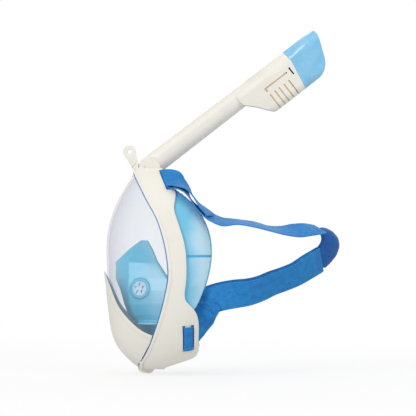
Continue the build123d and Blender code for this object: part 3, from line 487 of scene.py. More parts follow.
def build_weave_group() -> None:
    """Make the webbing effect: cross picks between long ribs, with painted shade in the hollows between threads
    and uneven dye.
    """
    tree = open_group(
        Effect.WEAVE,
        {"Colour": COLOUR, "Shade": COLOUR, "Picks": VALUE, "Ends": VALUE},
        {"Colour": COLOUR, "Roughness": VALUE, "Height": VALUE},
    )
    given, out = tree.nodes["in"], tree.nodes["out"]
    unrolled = tree.nodes.new("ShaderNodeUVMap").outputs["UV"]
    parts = tree.nodes.new("ShaderNodeSeparateXYZ")
    tree.links.new(unrolled, parts.inputs[0])
    turn = 2.0 * math.pi
    along = math_node(tree, "MULTIPLY", parts.outputs["X"], given.outputs["Picks"])
    across = math_node(tree, "MULTIPLY", parts.outputs["Y"], given.outputs["Ends"])
    pick = math_node(tree, "SINE", math_node(tree, "MULTIPLY", along, turn), 0.0)
    end = math_node(tree, "SINE", math_node(tree, "MULTIPLY", across, turn), 0.0)
    over = math_node(tree, "MULTIPLY", pick, end)
    relief = math_node(tree, "ADD", math_node(tree, "MULTIPLY", over, 0.6),
                       math_node(tree, "MULTIPLY", end, 0.4))
    dye = noise(tree, unrolled, 1.6, 3.0).outputs["Fac"]
    fuzz = noise(tree, unrolled, 60.0, 2.0).outputs["Fac"]
    # Share of the shade colour: painted shade in the weave's low hollows, plus uneven dye.
    shade = math_node(tree, "ADD", span(tree, relief, (-0.9, 0.6), (0.75, 0.0)),
                      span(tree, dye, (0.35, 0.7), (0.0, 0.35)))
    tree.links.new(blend_colours(tree, shade, given.outputs["Colour"], given.outputs["Shade"]),
                   out.inputs["Colour"])
    tree.links.new(span(tree, fuzz, (0.3, 0.7), (0.62, 0.85)), out.inputs["Roughness"])
    tree.links.new(math_node(tree, "ADD", relief, math_node(tree, "MULTIPLY", fuzz, 0.5)),
                   out.inputs["Height"])


# ---------------------------------------------------------------------------
# Finishes
# ---------------------------------------------------------------------------
@dataclass(frozen=True)
class Finish:
    """One finish of the mask, made a material when it is first used.

    Args:
        name: Material name.
        effect: Shared surface effect that it is built on.
        colour: Main display colour.
        second: Display colour of shade, depth or wear.
        third: Display colour of worn edges or of the rib line.
        gloss: Roughness, before the effect varies it.
        bump: Relief in metres.
        coat: Clear coat weight.
        sheen: Sheen weight.
        scatter: Subsurface weight.
        fade: Depths in metres between which silicone fades to its second colour.
        line_height: Height in metres of silicone's rib line.
        picks: Webbing's cross threads in a centimetre.
        ends: Webbing's long ribs in a centimetre.
    """

    name: str
    effect: Effect
    colour: Point
    second: Point
    third: Point = (1.0, 1.0, 1.0)
    gloss: float = 0.4
    bump: float = 0.00003
    coat: float = 0.0
    sheen: float = 0.0
    scatter: float = 0.0
    fade: Pair = (-0.03, 0.02)
    line_height: float = 10.0
    picks: float = 9.0
    ends: float = 4.7

    def material(self) -> Material:
        """Return this finish's material, made on first use.

        Returns:
            The material.
        """
        known = bpy.data.materials.get(self.name)
        if known is not None:
            return known
        material, tree, shader, _ = new_material(self.name)
        surface = tree.nodes.new("ShaderNodeGroup")
        surface.node_tree = bpy.data.node_groups[self.effect.value]
        self._fill(surface)
        tree.links.new(surface.outputs["Colour"], shader.inputs["Base Color"])
        tree.links.new(surface.outputs["Roughness"], shader.inputs["Roughness"])
        bump = tree.nodes.new("ShaderNodeBump")
        preset(bump, Distance=self.bump, Strength=0.6)
        tree.links.new(surface.outputs["Height"], bump.inputs["Height"])
        tree.links.new(bump.outputs["Normal"], shader.inputs["Normal"])
        preset(shader, Coat_Weight=self.coat, Coat_Roughness=0.25, Sheen_Weight=self.sheen,
               Sheen_Roughness=0.45, Subsurface_Weight=self.scatter, Subsurface_Radius=(0.3, 0.8, 1.0),
               Subsurface_Scale=0.004)
        return material

    def _fill(self, surface: Node) -> None:
        """Set the shared effect's inputs from this finish's values.

        Args:
            surface: The effect's group node.
        """
        second, third = linear(*self.second), linear(*self.third)
        preset(surface, Colour=linear(*self.colour))
        if self.effect is Effect.MOULDED:
            preset(surface, Shade=second, Worn=third, Gloss=self.gloss)
        elif self.effect is Effect.SILICONE:
            preset(surface, Pale=second, Line=third, Fade_from=self.fade[0], Fade_to=self.fade[1],
                   Line_height=self.line_height, Gloss=self.gloss)
        else:
            preset(surface, Shade=second, Picks=self.picks, Ends=self.ends)


@dataclass(frozen=True)
class ClearPane:
    """The clear lens finish: thin glassy plastic that lets light reach what is inside.

    Args:
        name: Material name.
        tint: Display colour of the plastic.
        body: How much of the pane shows as surface rather than see-through.
        rim: How much more shows where the pane is seen edge on.
        film: Thickness of its coating in nanometres, for a faint shimmer.
    """

    name: str
    tint: Point
    body: float = 0.02
    rim: float = 0.28
    film: float = 420.0

    def material(self) -> Material:
        """Return this finish's material, made on first use.

        Returns:
            The material.
        """
        known = bpy.data.materials.get(self.name)
        if known is not None:
            return known
        material, tree, shader, out = new_material(self.name)
        place = tree.nodes.new("ShaderNodeTexCoord").outputs["Object"]
        haze = noise(tree, place, 26.0, 3.0).outputs["Fac"]
        tree.links.new(span(tree, haze, (0.3, 0.75), (0.02, 0.09)), shader.inputs["Roughness"])
        preset(shader, Base_Color=linear(*self.tint), Specular_IOR_Level=0.8, Thin_Film_Thickness=self.film)
        clear = tree.nodes.new("ShaderNodeBsdfTransparent")
        clear.inputs["Color"].default_value = linear(0.982, 0.985, 0.989)
        facing = tree.nodes.new("ShaderNodeLayerWeight")
        facing.inputs["Blend"].default_value = 0.35
        edge_on = span(tree, facing.outputs["Facing"], (0.0, 1.0), (0.0, self.rim))
        shown = math_node(tree, "ADD", edge_on, self.body)
        mix = tree.nodes.new("ShaderNodeMixShader")
        tree.links.new(shown, mix.inputs["Fac"])
        tree.links.new(clear.outputs["BSDF"], mix.inputs[1])
        tree.links.new(shader.outputs["BSDF"], mix.inputs[2])
        tree.links.new(mix.outputs["Shader"], out.inputs["Surface"])
        return material


SHELL = Finish("shell_satin", Effect.MOULDED, (0.935, 0.922, 0.885), (0.915, 0.90, 0.86), 
               (0.955, 0.945, 0.92),
               gloss=0.42, bump=0.000002)
LENS = ClearPane("lens_pane", (0.94, 0.935, 0.95))
GASKET = Finish("gasket_silicone", Effect.SILICONE, (0.14, 0.50, 0.76), (0.18, 0.56, 0.80), gloss=0.5)
SKIRT = Finish("skirt_silicone", Effect.SILICONE, (0.45, 0.77, 0.89), (0.74, 0.88, 0.94), (0.16, 0.66, 0.87),
               gloss=0.3, bump=0.00001, scatter=0.2, fade=(-0.014, 0.010), line_height=-0.0003)
SKIRT_EDGE = Finish("skirt_rim_silicone", Effect.SILICONE, (0.28, 0.68, 0.90), (0.40, 0.76, 0.92), gloss=0.28,
                    bump=0.00001, scatter=0.3)
POCKET = Finish("pocket_silicone", Effect.SILICONE, (0.44, 0.81, 0.93), (0.67, 0.88, 0.955), gloss=0.2,
                bump=0.000006, scatter=0.25, fade=(-0.075, -0.035))
# Tan of the sheet inside the head's louvres: painted shade for their recesses in the white plastic.
LOUVRE_SHADE = Finish("louvre_shade_tan", Effect.MOULDED, (0.80, 0.71, 0.57), (0.76, 0.67, 0.53), 
                (0.84, 0.76, 0.64), gloss=0.5,
                bump=0.000002)
VALVE = Finish("valve_plastic", Effect.MOULDED, (0.72, 0.88, 0.95), (0.68, 0.86, 0.94), (0.86, 0.94, 0.98),
               gloss=0.25, bump=0.000004)
FLAP = Finish("flap_silicone", Effect.SILICONE, (0.95, 0.975, 0.985), 
              (0.90, 0.95, 0.975), gloss=0.25, bump=0.000006,
              scatter=0.2)
FLOAT = Finish("float_foam", Effect.MOULDED, (0.86, 0.84, 0.80), (0.80, 0.78, 0.74), 
               (0.90, 0.88, 0.85), gloss=0.62,
               bump=0.00005)
SEAL = Finish("seal_rubber", Effect.SILICONE, (0.09, 0.09, 0.10), (0.13, 0.13, 0.14), gloss=0.45)
CAP = Finish("cap_gloss", Effect.MOULDED, (0.46, 0.75, 0.91), (0.44, 0.735, 0.90), 
             (0.60, 0.82, 0.94), gloss=0.22,
             bump=0.000001, coat=0.6)
STRAP = Finish("strap_webbing", Effect.WEAVE, (0.09, 0.56, 0.84), 
               (0.035, 0.39, 0.68), bump=0.00012, sheen=0.12)
# The rear panel's webbing: the strap webbing made darker, painted shade for the back of the head.
SHADED_PANEL = Finish("panel_webbing_shaded", Effect.WEAVE, (0.04, 0.39, 0.70), (0.02, 0.29, 0.58), bump=0.00015, sheen=0.0,
               picks=6.0, ends=5.0)
THREAD = Finish("seam_thread", Effect.WEAVE, (0.05, 0.33, 0.66), (0.03, 0.24, 0.52), bump=0.0001, picks=14.0,
                ends=3.0)


# ---------------------------------------------------------------------------
# Hard parts, straight from the frame
# ---------------------------------------------------------------------------
@dataclass
class HardParts:
    """The hard nodes of the frame, with softened edges and their finishes.

    Args:
        round_over: Nodes whose edges are rounded, with the round's width in millimetres.
        finishes: The finish of each material slot.
        weld: Distance in millimetres within which loose corners are merged.
        smooth_below: Edges flatter than this many degrees stay as they are.
    """

    round_over: dict[str, float] = field(default_factory=lambda: {
        "main_frame": 0.6, "chin_cover": 0.5, "camera_mount": 0.45, "valve_housing": 0.35, "head_cap": 0.4,
        "snorkel_tube": 0.35, "pivot_cap_left": 0.2, "pivot_cap_right": 0.2, "float_block": 0.4,
        "float_seat_plate": 0.25, "purge_valve_seat": 0.2, "inhale_valve_seat_left": 0.18,
        "inhale_valve_seat_right": 0.18, "pivot_drum": 0.25,
    })
    finishes: dict[str, "Finish | ClearPane"] = field(default_factory=lambda: {
        "shell_white": SHELL, "clear_lens": LENS, "gasket_blue": GASKET, "skirt_blue": SKIRT,
        "pocket_blue": POCKET, "valve_blue": VALVE, "flap_clear": FLAP, "float_white": FLOAT,
        "seal_dark": SEAL, "cap_blue": CAP, "strap_blue": STRAP,
    })
    weld: float = 0.002
    smooth_below: float = 32.0

    def dress(self) -> None:
        """Give every node of the frame its finish, and round the hard ones."""
        slots = {part["node"]: part["material_slot"] for part in frame["record"]["subparts"]}
        for name, node in frame["nodes"].items():
            material = self.finishes[slots[name]].material()
            node.data.materials.clear()
            node.data.materials.append(material)
            if name in self.round_over:
                self._round(node, self.round_over[name])
            LOG.info("%s: %s", name, material.name)

    def _round(self, node: Object, width: float) -> None:
        """Round a node's sharp edges with live modifiers.

        Args:
            node: The frame's node.
            width: Width of the round in millimetres.
        """
        weld = node.modifiers.new("weld", "WELD")
        weld.merge_threshold = self.weld * MM
        bevel = add_bevel(node, "round_over", width, 2, self.smooth_below)
        bevel.harden_normals = True
        bevel.use_clamp_overlap = True


# ---------------------------------------------------------------------------
# Moulded silicone, worked up from copies of the frame's soft solids
# ---------------------------------------------------------------------------
@dataclass
class MouldedSilicone:
    """A soft moulding: a merged copy of its solid, re-skinned and smoothed.

    Args:
        node: The frame's node that it replaces.
        name: Name of the new piece.
        skin: Size of the re-skinned faces, in millimetres.
        passes: Smoothing passes that round its edges.
        finish: Its finish.
        slot: Material slot of the record; not used.
    """

    node: str
    name: str
    skin: float
    passes: int
    finish: Finish
    slot: str

    def build(self) -> Object:
        """Make the moulding and let it replace its solid.

        Returns:
            The new piece.
        """
        source = frame["nodes"][self.node]
        piece = own_copy(source)
        piece.name = self.name
        piece.data.name = self.name
        piece.hide_render = False
        self._merge(piece)
        skin = piece.modifiers.new("skin", "REMESH")
        skin.mode = "VOXEL"
        skin.voxel_size = self.skin * MM
        skin.use_smooth_shade = True
        relax = piece.modifiers.new("relax", "SMOOTH")
        relax.factor = 0.5
        relax.iterations = self.passes
        apply_modifiers(piece)
        make_active(piece)
        bpy.ops.object.shade_smooth()
        settle(piece, ROOT_BODY, self.finish.material())
        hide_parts(self.node)
        return piece

    @staticmethod
    def _merge(piece: Object) -> None:
        """Merge the copy's loose triangles into one closed skin.

        Args:
            piece: The copy.
        """
        piece.parent = None
        make_active(piece)
        bpy.ops.object.mode_set(mode="EDIT")
        bpy.ops.mesh.select_all(action="SELECT")
        bpy.ops.mesh.remove_doubles(threshold=0.004 * MM)
        bpy.ops.object.mode_set(mode="OBJECT")


@dataclass
class SkirtRim:
    """The rolled bead along the skirt's rear edge, where it meets the face.

    Args:
        radius: Bead radius in millimetres.
        stations: Points that the bead's line is drawn through.
        centre_height: Height of the opening's middle in millimetres.
        sector: Half angle in degrees that each point is looked for in.
    """

    radius: float = 1.5
    stations: int = 48
    centre_height: float = -18.0
    sector: float = 3.0

    def build(self, skirt: Object) -> Object:
        """Lay the bead on the skirt's rear edge.

        Args:
            skirt: The finished skirt.

        Returns:
            The bead.
        """
        line = self._rear_edge(skirt)
        deselect_all()
        bpy.ops.curve.primitive_nurbs_circle_add(radius=0.1)
        bead = bpy.context.object
        bead.name = "skirt_rim_bead"
        curve = bead.data
        curve.splines.clear()
        spline = curve.splines.new("NURBS")
        spline.points.add(len(line) - 1)
        for point, place in zip(spline.points, line):
            point.co = (*place, 1.0)
        spline.order_u = 4
        spline.use_cyclic_u = True
        curve.bevel_depth = self.radius * MM
        curve.bevel_resolution = 4
        curve.resolution_u = 6
        make_active(bead)
        bpy.ops.object.convert(target="MESH")
        outward(bead)
        make_active(bead)
        bpy.ops.object.shade_smooth()
        settle(bead, ROOT_BODY, SKIRT_EDGE.material())
        return bead

    def _rear_edge(self, skirt: Object) -> list[Vector]:
        """Find the skirt's rearmost points, sector by sector round the opening.

        Args:
            skirt: The finished skirt.

        Returns:
            The points, in order round the opening.
        """
        middle = self.centre_height * MM
        reach = [(math.atan2(v.co.z - middle, v.co.x), v.co) for v in skirt.data.vertices]
        found: list[Vector] = []
        for i in range(self.stations):
            angle = -math.pi + 2 * math.pi * (i + 0.5) / self.stations
            near = [co for a, co in reach if abs(a - angle) < math.radians(self.sector)]
            if near:
                rearmost = max(co.y for co in near)
                back = [co for co in near if co.y > rearmost - 1.2 * MM]
                mean = sum(back, Vector()) / len(back)
                found.append(mean)
        return found


# ---------------------------------------------------------------------------
# Webbing
# ---------------------------------------------------------------------------
@dataclass(frozen=True)
class Station:
    """A place on a webbing run, in millimetres, and the direction of its width."""

    place: Point
    across: Point


def run_of(*rows: tuple[Point, Point]) -> list[Station]:
    """Make stations from pairs of a place and a width direction."""
    return [Station(place, across) for place, across in rows]


class Path:
    """A smooth run through stations, read by its share of the whole length."""

    def __init__(self, stations: list[Station], steps: int = 14) -> None:
        """Sample a smooth curve through the stations.

        Args:
            stations: Places and width directions, in order.
            steps: Samples between two stations.
        """
        places = [Vector(s.place) * MM for s in stations]
        widths = [Vector(s.across).normalized() for s in stations]
        self.samples: list[tuple[Vector, Vector]] = []
        last = len(places) - 1
        for i in range(last):
            before, after = max(i - 1, 0), min(i + 2, last)
            for k in range(steps):
                t = k / steps
                self.samples.append((
                    self._through(places[before], places[i], places[i + 1], places[after], t),
                    self._through(widths[before], widths[i], widths[i + 1], widths[after], t).normalized(),
                ))
        self.samples.append((places[-1], widths[-1]))
        self.lengths = [0.0]
        for (first, _), (second, _) in zip(self.samples, self.samples[1:]):
            self.lengths.append(self.lengths[-1] + (second - first).length)

    @property
    def length(self) -> float:
        """Whole length in metres."""
        return self.lengths[-1]

    @staticmethod
    def _through(a: Vector, b: Vector, c: Vector, d: Vector, t: float) -> Vector:
        """Interpolate between b and c so that neighbouring spans join smoothly."""
        return 0.5 * ((2 * b) + (c - a) * t + (2 * a - 5 * b + 4 * c - d) * t * t
                      + (3 * b - a - 3 * c + d) * t * t * t)

    def at(self, share: float) -> tuple[Vector, Vector, Vector, Vector]:
        """Read the run at a share of its length.

        Args:
            share: 0 at its start, 1 at its end.

        Returns:
            Place, direction along, direction across and outward normal.
        """
        target = min(max(share, 0.0), 1.0) * self.length
        low, high = 0, len(self.lengths) - 1
        while high - low > 1:
            middle = (low + high) // 2
            if self.lengths[middle] <= target:
                low = middle
            else:
                high = middle
        gap = max(self.lengths[high] - self.lengths[low], 1e-9)
        t = (target - self.lengths[low]) / gap
        place = self.samples[low][0].lerp(self.samples[high][0], t)
        across = self.samples[low][1].lerp(self.samples[high][1], t)
        before = self.samples[max(low - 1, 0)][0]
        after = self.samples[min(high + 1, len(self.samples) - 1)][0]
        along = (after - before).normalized()
        across = (across - along * across.dot(along)).normalized()
        return place, along, across, along.cross(across).normalized()


@dataclass
class Webbing:
    """One length of ribbed elastic webbing.

    Args:
        name: Name of the piece.
        stations: The run's stations.
        width: Width in millimetres.
        thick: Thickness in millimetres.
        ribs: Long ribs across the width.
        rib_height: Height of a rib in millimetres.
        pitch: Length of a face along the run in millimetres.
        least_columns: Fewest faces along the run.
        selvedge: Round of its edges in millimetres.
        hem_rise: How much thicker its hems are, in millimetres.
        hem_from: Where the hems start, as a share of the width from the middle.
    """

    name: str
    stations: list[Station]
    width: float = 30.0
    thick: float = 1.45
    ribs: int = 13
    rib_height: float = 0.14
    pitch: float = 1.6
    least_columns: int = 8
    selvedge: float = 0.45
    hem_rise: float = 0.12
    hem_from: float = 0.455

    def build(self) -> Object:
        """Weave the run as a closed mesh with rounded selvedges.

        Returns:
            The new piece, with its map in centimetres along and across.
        """
        path = Path(self.stations)
        columns = max(int(path.length / (self.pitch * MM)), self.least_columns)
        piece = new_slab(self.name, columns, self.ribs * 4)
        unroll(piece, path.length * 100, self.width / 10)
        self._lay(piece, path)
        outward(piece)
        add_bevel(piece, "selvedge", self.selvedge, 3, 55.0)
        apply_modifiers(piece)
        shade_by_angle(piece, 60.0)
        return piece

    def _lay(self, piece: Object, path: Path) -> None:
        """Move the flat weave's points onto the run.

        Args:
            piece: The flat weave.
            path: The run.
        """
        known: dict[float, tuple[Vector, Vector, Vector, Vector]] = {}
        for vertex in piece.data.vertices:
            share, side, face = vertex.co.x + 0.5, vertex.co.y, vertex.co.z - 0.5
            key = round(share, 6)
            if key not in known:
                known[key] = path.at(share)
            place, _, across, normal = known[key]
            rib = self.rib_height * (0.5 + 0.5 * math.cos(2 * math.pi * (side + 0.5) * self.ribs))
            edge = self.hem_rise * max(0.0, abs(side) - self.hem_from) / (0.5 - self.hem_from)
            rise = (self.thick / 2 + edge - rib) * (1 if face > 0 else -1)
            vertex.co = place + across * (side * self.width * MM) + normal * (rise * MM)


@dataclass
class Stitching:
    """Rows of stitches laid on a webbing run.

    Args:
        name: Name of the piece.
        stations: The run that they lie on.
        rows: Start and end of each row, as share along and millimetres across.
        lift: Height above the middle of the webbing in millimetres.
        stitch_length: Length of a stitch in millimetres.
        stitch_radius: Radius of its thread.
        dip: How deep its ends sink into the cloth.
        spacing: Distance from stitch to stitch, in stitch lengths.
    """

    name: str
    stations: list[Station]
    rows: list[Row]
    lift: float = 0.74
    stitch_length: float = 1.9
    stitch_radius: float = 0.28
    dip: float = 0.25
    spacing: float = 1.35

    def build(self) -> Object:
        """Sew the rows, one small rounded stitch copied along each.

        Returns:
            The stitches as one piece.
        """
        path = Path(self.stations)
        master = self._stitch()
        made: list[Object] = []
        for face in (1, -1):
            for start, end in self.rows:
                made += self._row(master, path, start, end, face)
        bpy.data.objects.remove(master)
        return joined(self.name, made)

    def _stitch(self) -> Object:
        """Model one stitch: a short thread that dips into the cloth at its ends.

        Returns:
            The stitch, along x at the origin.
        """
        deselect_all()
        bpy.ops.mesh.primitive_cylinder_add(vertices=6, radius=self.stitch_radius * MM,
                                            depth=self.stitch_length * MM, rotation=(0, math.pi / 2, 0))
        stitch = bpy.context.object
        bpy.ops.object.transform_apply(location=False, rotation=True, scale=True)
        bevel = stitch.modifiers.new("soft", "BEVEL")
        bevel.width = 0.2 * MM
        bevel.segments = 2
        apply_modifiers(stitch)
        half = self.stitch_length * MM / 2
        for vertex in stitch.data.vertices:
            vertex.co.z -= self.dip * MM * (vertex.co.x / half) ** 2
        return stitch

    def _row(self, master: Object, path: Path, start: Pair, end: Pair,
             face: int) -> list[Object]:
        """Copy the stitch along one row.

        Args:
            master: The stitch.
            path: The run.
            start: Share along and millimetres across at the row's start.
            end: The same at its end.
            face: 1 for the outer face, -1 for the inner.

        Returns:
            The copies.
        """
        span_along = (end[0] - start[0]) * path.length / MM
        row_length = math.hypot(span_along, end[1] - start[1])
        count = max(int(row_length / (self.stitch_length * self.spacing)), 1)
        copies: list[Object] = []
        for i in range(count):
            t = (i + 0.5) / count
            share = start[0] + (end[0] - start[0]) * t
            place, along, across, normal = path.at(share)
            aside = start[1] + (end[1] - start[1]) * t
            middle = place + across * (aside * MM) + normal * (face * self.lift * MM)
            heading = (along * span_along + across * (end[1] - start[1])).normalized()
            side = normal.cross(heading).normalized() * face
            stitch = own_copy(master)
            for vertex in stitch.data.vertices:
                x, y, z = vertex.co
                vertex.co = middle + heading * x + side * y + normal * (face * z)
            copies.append(stitch)
        return copies


@dataclass(frozen=True)
class SlotFrame:
    """Where a loop goes through the frame: the slot's middle and directions."""

    middle: Point
    rear: Point
    outward: Point
    across: Point

    def place(self, back: float, out: float) -> Point:
        """A point at distances rearwards and outwards of the slot's middle."""
        point = Vector(self.middle) + Vector(self.rear) * back + Vector(self.outward) * out
        return (point.x, point.y, point.z)


@dataclass
class Loop:
    """A webbing loop: in through a slot, round its bar, and back to the seam.

    Args:
        slot: The slot in the frame.
        turn: Corners of the turn, as distances rearwards and outwards of the slot.
        radius: Radius of the turn's corners.
        path: Stations from the slot to the seam, between the loop's layers.
        spread: Distance of each layer from that line at the seam.
        first_side: 1 if the turn's first corner belongs to the outer layer, or -1.
    """

    slot: SlotFrame
    turn: list[Pair]
    radius: float
    path: list[Station]
    spread: float = 1.75
    first_side: int = -1

    def stations(self) -> list[Station]:
        """The whole loop, from its inner seam end round to its outer one.

        Returns:
            The loop's stations.
        """
        turned = [Station(self.slot.place(*corner), self.slot.across) for corner in self._rounded()]
        first = self._layer(self.turn[0], self.first_side)
        second = self._layer(self.turn[-1], -self.first_side)
        return first[::-1] + turned + second

    def _layer(self, leg: Pair, side: int) -> list[Station]:
        """Stations of one layer, drifting from its leg to its place at the seam.

        Args:
            leg: Where the layer leaves the turn, rearwards and outwards of the slot.
            side: 1 for the outer layer, -1 for the inner.

        Returns:
            The layer's stations, from the slot to the seam.
        """
        middle = (self.turn[0][1] + self.turn[-1][1]) / 2
        start = abs(leg[1] - middle)
        previous = Vector(self.slot.place(leg[0], middle))
        layer: list[Station] = []
        for i, station in enumerate(self.path):
            point, wide = Vector(station.place), Vector(station.across).normalized()
            out = (point - previous).cross(wide).normalized()
            if out.x + 0.6 * out.z < 0:
                out.negate()
            away = start + (self.spread - start) * (i + 1) / len(self.path)
            moved = point + out * (side * away)
            layer.append(Station((moved.x, moved.y, moved.z), station.across))
            previous = point
        return layer

    def _rounded(self, steps: int = 3) -> list[Pair]:
        """The turn's corners, each cut by a short arc.

        Args:
            steps: Pieces in each arc.

        Returns:
            The points, as distances rearwards and outwards of the slot.
        """
        corners = [Vector(corner) for corner in self.turn]
        points = [corners[0]]
        for before, corner, after in zip(corners, corners[1:], corners[2:]):
            back, ahead = (before - corner).normalized(), (after - corner).normalized()
            start, end = corner + back * self.radius, corner + ahead * self.radius
            for k in range(steps + 1):
                t = k / steps
                points.append(start * (1 - t) ** 2 + corner * 2 * t * (1 - t) + end * t ** 2)
        points.append(corners[-1])
        return [(p.x, p.y) for p in points]


@dataclass
class HeadStraps:
    """The straps, their loops and the rear panel that joins them.

    Args:
        layer: Distance of a loop's layer from the middle of the frame's wall, in millimetres.
        deep: The same for the lower loop's second inner layer.
        upper_slot: The slot of the upper loop.
        lower_slot: The bar of the lower loop, between its two slots.
        upper_path: Stations from the upper slot to the loop's seam.
        lower_path: The same for the lower loop.
        upper_run: Stations of the upper strap, from its seam to the rear panel.
        lower_run: The same for the lower strap.
    """

    layer: float = 2.75
    deep: float = 4.65
    upper_slot: SlotFrame = SlotFrame((38.7, -35.7, 86.6), (-0.296, 0.948, 0.114), (0.67, 0.121, 0.732),
                                      (0.68, 0.293, -0.672))
    lower_slot: SlotFrame = SlotFrame((73.8, -7.8, -94.5), (-0.267, 0.955, 0.13), (0.859, 0.297, -0.417),
                                      (-0.437, 0.0, -0.899))
    upper_path: list[Station] = field(default_factory=lambda: run_of(
        ((41.0, -20.5, 83.2), (0.77, 0.3, -0.56)), ((46.5, -9.5, 74.0), (0.8, 0.38, -0.46)),
        ((52.5, 4.5, 57.5), (0.86, 0.3, -0.41)), ((57, 18.7, 44.6), (0.92, 0.15, -0.36)),
    ))
    lower_path: list[Station] = field(default_factory=lambda: run_of(
        ((66.8, 0.5, -85.5), (-0.30, 0.03, -0.95)), ((64.8, 5.8, -75.0), (-0.2, 0.06, -0.98)),
        ((66.4, 12.0, -62.5), (-0.08, 0.06, -1.0)), ((69, 18.5, -51.8), (0, 0.02, -1)),
    ))
    upper_run: list[Station] = field(default_factory=lambda: run_of(
        ((56.2, 15.2, 47.5), (0.91, 0.18, -0.37)), ((57, 18.7, 44.6), (0.92, 0.15, -0.36)),
        ((60, 33, 38.8), (0.95, 0.04, -0.30)), ((62, 50, 38.6), (0.98, 0, -0.17)),
        ((62.5, 69, 35.8), (0.98, 0, -0.19)), ((61, 87, 31.0), (0.98, 0, -0.17)),
        ((59, 103, 28.6), (0.95, 0, -0.3)), ((55.5, 118, 28.7), (0.88, 0.04, -0.47)),
        ((50.5, 132, 30.2), (0.87, 0.2, -0.43)), ((43.5, 145.5, 30.6), (0.86, 0.42, -0.28)),
    ))
    lower_run: list[Station] = field(default_factory=lambda: run_of(
        ((68.2, 16.2, -54.2), (-0.02, 0.02, -1)), ((69, 18.5, -51.8), (0, 0.02, -1)),
        ((70.8, 31.6, -47.9), (0, 0.04, -1)), ((71, 47, -45.2), (-0.14, 0.05, -0.98)),
        ((70, 62, -43.2), (-0.34, 0.06, -0.93)), ((68, 76, -39.2), (-0.48, 0.14, -0.86)),
        ((65.3, 90, -33.0), (-0.56, 0.25, -0.78)), ((62, 104, -28.0), (-0.58, 0.27, -0.76)),
        ((57.8, 118, -22.2), (-0.58, 0.3, -0.75)), ((52, 132, -13.6), (-0.52, 0.34, -0.78)),
        ((46.5, 139.8, -9.0), (-0.57, 0.38, -0.73)), ((40, 146.5, -4.8), (-0.61, 0.39, -0.69)),
    ))

    def build(self) -> None:
        """Make both sides' loops and straps, and the panel."""
        upper = Loop(self.upper_slot, [(6.8, -self.layer), (-0.1, -self.layer), (-0.1, self.layer),
                                       (6.8, self.layer)], 1.9, self.upper_path)
        lower = Loop(self.lower_slot, [(6.6, -self.layer), (4.6, -self.layer), (4.6, self.layer),
                                       (-4.6, self.layer), (-4.6, -self.deep), (6.6, -self.deep)], 1.4,
                     self.lower_path, first_side=1)
        box_seam = self._box_seam()
        self._both_sides("upper_loop", upper.stations(), [])
        self._both_sides("lower_loop", lower.stations(), [])
        self._both_sides("upper_strap", self.upper_run, self._tail_seam())
        self._both_sides("lower_strap", self.lower_run, self._tail_seam())
        self._loop_seam("upper_loop_seam", upper, box_seam)
        self._loop_seam("lower_loop_seam", lower, box_seam)
        RearPanel().build()

    def _both_sides(self, name: str, run: list[Station], seam: list[Row]) -> None:
        """Make one webbing run on the left and its mirror on the right.

        Args:
            name: First part of the pieces' names and of the nodes that they replace.
            run: The left run's stations.
            seam: Rows of stitches on the run, if any.
        """
        left = Webbing(f"{name}_left_web", run).build()
        right = mirrored_copy(left, f"{name}_right_web")
        for piece, side in ((left, "left"), (right, "right")):
            settle(piece, ROOT_BODY, STRAP.material())
            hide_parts(f"{name}_{side}")
        if seam:
            self._sew(f"{name}_seam", run, seam)

    @staticmethod
    def _sew(name: str, run: list[Station], rows: list[Row], lift: float = 0.74) -> None:
        """Sew rows of stitches on both sides of the mask.

        Args:
            name: First part of the pieces' names.
            run: Stations that the rows lie on.
            rows: The rows.
            lift: Height above the run's middle in millimetres.
        """
        left = Stitching(f"{name}_left", run, rows, lift=lift).build()
        right = mirrored_copy(left, f"{name}_right")
        for piece in (left, right):
            settle(piece, ROOT_BODY, THREAD.material())

    def _loop_seam(self, name: str, loop: Loop, rows: list[Row]) -> None:
        """Sew the box seam that closes a loop over its strap."""
        self._sew(name, loop.path[::-1], rows, lift=loop.spread + 0.74)

    @staticmethod
    def _box_seam() -> list[Row]:
        """Rows of a box seam with a cross in it, near the start of a run.

        Returns:
            The rows.
        """
        half = 11.5
        near, far = 0.03, 0.275
        return [((near, -half), (near, half)), ((far, -half), (far, half)), ((near, -half), (far, -half)),
                ((near, half), (far, half)), ((near, -half), (far, half)), ((near, half), (far, -half))]

    @staticmethod
    def _tail_seam() -> list[Row]:
        """Two cross rows where a strap joins the rear panel."""
        half = 12.0
        return [((0.955, -half), (0.955, half)), ((0.975, -half), (0.975, half))]


